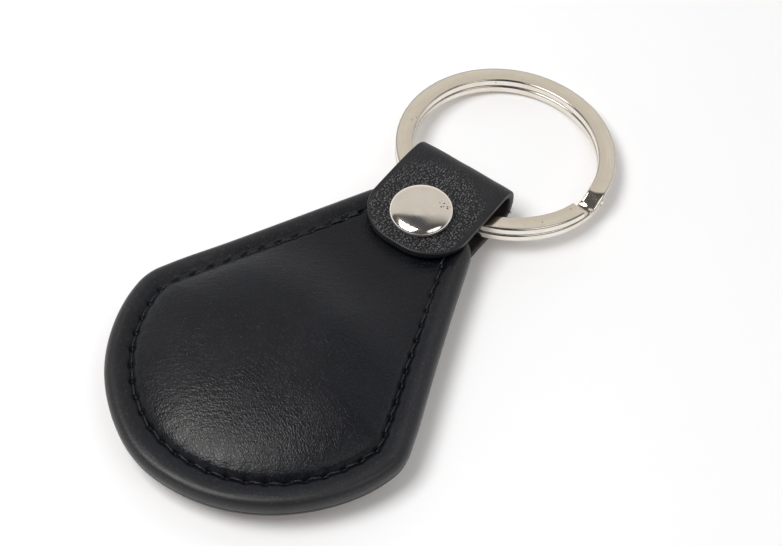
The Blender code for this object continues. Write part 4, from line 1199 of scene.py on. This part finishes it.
def wire_section(outer_edge):
    """The wire's section, counter-clockwise: a flat rectangle whose outer and inner corners have their own radii."""
    points = []
    for quarter, (right, top) in enumerate(((1, 1), (-1, 1), (-1, -1), (1, -1))):
        radius, other = (outer_edge, INNER_EDGE)[::right]
        middle = (right * (WIRE_WIDTH / 2 - radius), top * (WIRE_THICKNESS / 2 - radius))
        points.append(arc(middle, radius, quarter * QUARTER, (quarter + 1) * QUARTER, CORNER_POINTS))
        if right == top:
            across = np.linspace(middle[0], right * (other - WIRE_WIDTH / 2), FLAT_POINTS)[1:-1]
            points.append(np.stack([across, np.full(len(across), top * WIRE_THICKNESS / 2)], 1))
    return np.concatenate(points)


def ring_to_frame(local):
    """From the ring's own axes, about its hinge, into the row frame: leaned back, then turned with the strap."""
    forwards = math.cos(RING_LEAN) * strap_forwards - math.sin(RING_LEAN) * UP
    upwards = math.sin(RING_LEAN) * strap_forwards + math.cos(RING_LEAN) * UP
    return hinge_place + local @ np.stack([hinge_axis, forwards, upwards])


def near(angle, place, spread):
    """1 at a place round the ring, in degrees, down to 0 beyond the spread."""
    return bell((angle - math.radians(place) + math.pi) % math.tau - math.pi, math.radians(spread))


def make_split_ring():
    """Sweeps the section along the turn. The radius follows the real ring, which is sprung out beside its end
    and drawn in on the far side. The middle's height falls smoothly from the upper coil to the lower one on the
    ramp, where the wire also rolls a little outwards, a bit ahead of its fall. The section's outer corners are
    rounder on the side of the ramp, where keys have worn them. Both ends are cut square."""
    ramp_turns = np.linspace(RAMP_START - RAMP_MARGIN, RAMP_START + RAMP_TURN + RAMP_MARGIN, RAMP_STEPS)
    turn = np.unique(np.round(np.append(np.linspace(0, WIRE_TURN, RING_STEPS), ramp_turns), 6))[:, None]
    crisp, worn = wire_section(CRISP_EDGE), wire_section(ROUND_EDGE)
    section = crisp + near(END_ANGLE - turn, WORN_PLACE, WORN_SPREAD)[..., None] * (worn - crisp)
    rise = smooth_step((turn - ROLL_RISE[0]) / np.ptp(ROLL_RISE))
    roll = -ROLL_ANGLE * rise * smooth_step((ROLL_FALL[1] - turn) / np.ptp(ROLL_FALL))
    across = section[..., 0] * np.cos(roll) - section[..., 1] * np.sin(roll)
    high = section[..., 0] * np.sin(roll) + section[..., 1] * np.cos(roll)
    middle = (RING_HEIGHT - WIRE_THICKNESS) * (0.5 - smooth_step((turn - RAMP_START) / RAMP_TURN))
    angle = END_ANGLE - turn + 0 * across
    radius = WIRE_RADIUS + across + MM * sum(by * near(angle, place, spread) for by, place, spread in SPRUNG)
    loops = ring_to_frame(np.stack([RING_SHIFT + radius * np.cos(angle), RING_REACH + radius * np.sin(angle),
                                    middle + high], -1))
    place = np.concatenate([(turn * WIRE_RADIUS + 0 * across)[..., None], section], -1)
    return skin("split_ring_wire", loops, loops[0].mean(0), loops[-1].mean(0), values={"wire_place": place})


# %% Ring steel
STEEL_DARK, STEEL_PALE, STEEL_INNER_SHADE = (0.82, 0.745, 0.615), (0.88, 0.81, 0.69), (0.72, 0.62, 0.495)
STEEL_WALL_REFLECTION, STEEL_EDGE_SHADE = (0.87, 0.84, 0.80), (0.30, 0.27, 0.24)
STEEL_SPECK, STEEL_STAIN = (0.25, 0.21, 0.17), (0.76, 0.68, 0.56)


def ring_steel():
    """Plated steel wire: almost mirror smooth, with faint rolling lines, grinding marks and a few specks.
    The wire's own place tells its inner half, painted darker as shade, its walls, painted paler as a reflection
    of the bright floor, and its corners, painted dark as shade."""
    finish, tree, shader = new_finish("plated_ring_steel")
    wire = attribute(tree, "wire_place", "Vector")
    marks = use_group(METAL_MARKS, wire, Fineness=0.16 * MM)
    stains = use_group(HANDLING, object_place(tree), Size=3 * MM)["Amount"]
    _, across, high = node(tree, "SeparateXYZ", Vector=wire)
    # Painted shade: the inner half of the top face is painted darker.
    inner_shade = times(ramp(across, 0.5 * MM, -0.9 * MM), ramp(high, 0.4 * MM, 0.5 * MM, 0, 0.5))
    # Painted reflection: the walls are painted paler, as if they mirrored the bright floor.
    wall, face = (ramp(math_node("ABSOLUTE", part), full / 2 - 0.3 * MM, full / 2 - 0.1 * MM)
                  for part, full in ((across, WIRE_WIDTH), (high, WIRE_THICKNESS)))
    # Painted shade: dark lines along the corners, standing in for the dark ceiling they reflect.
    corner = times(wall, face)
    colour = mix_colours(marks["Scratches"], STEEL_DARK, STEEL_PALE, (inner_shade, STEEL_INNER_SHADE), (wall, STEEL_WALL_REFLECTION),
                         (times(corner, 0.75), STEEL_EDGE_SHADE), (marks["Specks"], STEEL_SPECK),
                         (times(stains, 0.6), STEEL_STAIN))
    rough = plus(ramp(stains, 0, 1, 0.08, 0.14), times(corner, 0.05))
    fill(shader, Base_Color=colour, Metallic=1.0, Roughness=rough, Normal=bump(marks["Scratches"], 0.0013 * MM))
    return finish


finish_piece(make_split_ring(), "ring", "polished_steel", ring_steel(), "split_ring")

# %% [markdown]
# ## What stays hidden
# The board, the tag with its coil and chip, and the rivet's barrel and post keep their solids' shapes.
# They are never seen, but they get the finish that they would have: pressed fibre, matt plastic, wire, resin, steel.

# %% Hidden parts
def plain_finish(name, dark, pale, scale, roughness, metallic, depth, stretch=(1, 1, 1)):
    """A finish that wavers between two colours by a noise, which also gives it a slight relief."""
    finish, tree, shader = new_finish(name)
    share = ramp(noise(vector_node("MULTIPLY", object_place(tree), stretch), scale, 5.0), 0.35, 0.65)
    fill(shader, Base_Color=mix_colours(share, dark, pale), Metallic=metallic,
         Roughness=ramp(share, 0, 1, roughness, roughness * 0.8), Normal=bump(share, depth * MM))
    return finish


STEEL = plain_finish("plated_steel", (0.58, 0.55, 0.5), (0.68, 0.65, 0.6), 2500, 0.3, 1.0, 0.004, (1, 1, 0.1))
HIDDEN = {
    "core_board": plain_finish("pressed_fibre", (0.13, 0.10, 0.07), (0.27, 0.22, 0.16), 1800, 0.85, 0.0, 0.02),
    "tag_disc": plain_finish("tag_plastic", (0.70, 0.70, 0.67), (0.78, 0.78, 0.75), 900, 0.45, 0.0, 0.006),
    "antenna_coil": plain_finish("copper_winding", (0.55, 0.24, 0.12), (0.80, 0.42, 0.25), 6000, 0.35, 1.0, 0.01),
    "chip": plain_finish("chip_resin", (0.010, 0.010, 0.010), (0.022, 0.022, 0.023), 3000, 0.4, 0.0, 0.004),
    "rivet_barrel": STEEL,
    "rivet_post": STEEL,
}
for cad_node, finish in HIDDEN.items():
    mesh = frame["nodes"][cad_node].data
    mesh.materials.clear()
    mesh.materials.append(finish)
print("finished", len(HIDDEN), "hidden nodes")

# %% [markdown]
# ## Where the strap's bend would start and end
# The ring swings in the strap's loop. Two places along the strap are worked out: one at the rivet's edge, where
# the riveted legs stay, and one far past the fold. The strap and its fibres get their place baked into their points.

# %% Places along the strap
BEND_START, BEND_END = 4.4 * MM, 32.0 * MM

bend_start, bend_end = (tuple(rivet_axis + reach * strap_forwards) for reach in (BEND_START, BEND_END))
for piece in (strap, fibres):
    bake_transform(piece)
    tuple(bend_start)
    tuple(bend_end)
print("strap bends from", np.round(np.array(bend_start) / MM, 1), "mm on")

# %% Measure and finish
boxes = {"cad": [list(corner) for corner in cad_box], "visual": [list(corner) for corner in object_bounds()]}
print("box", [[round(value / MM, 2) for value in corner] for corner in boxes["visual"]])
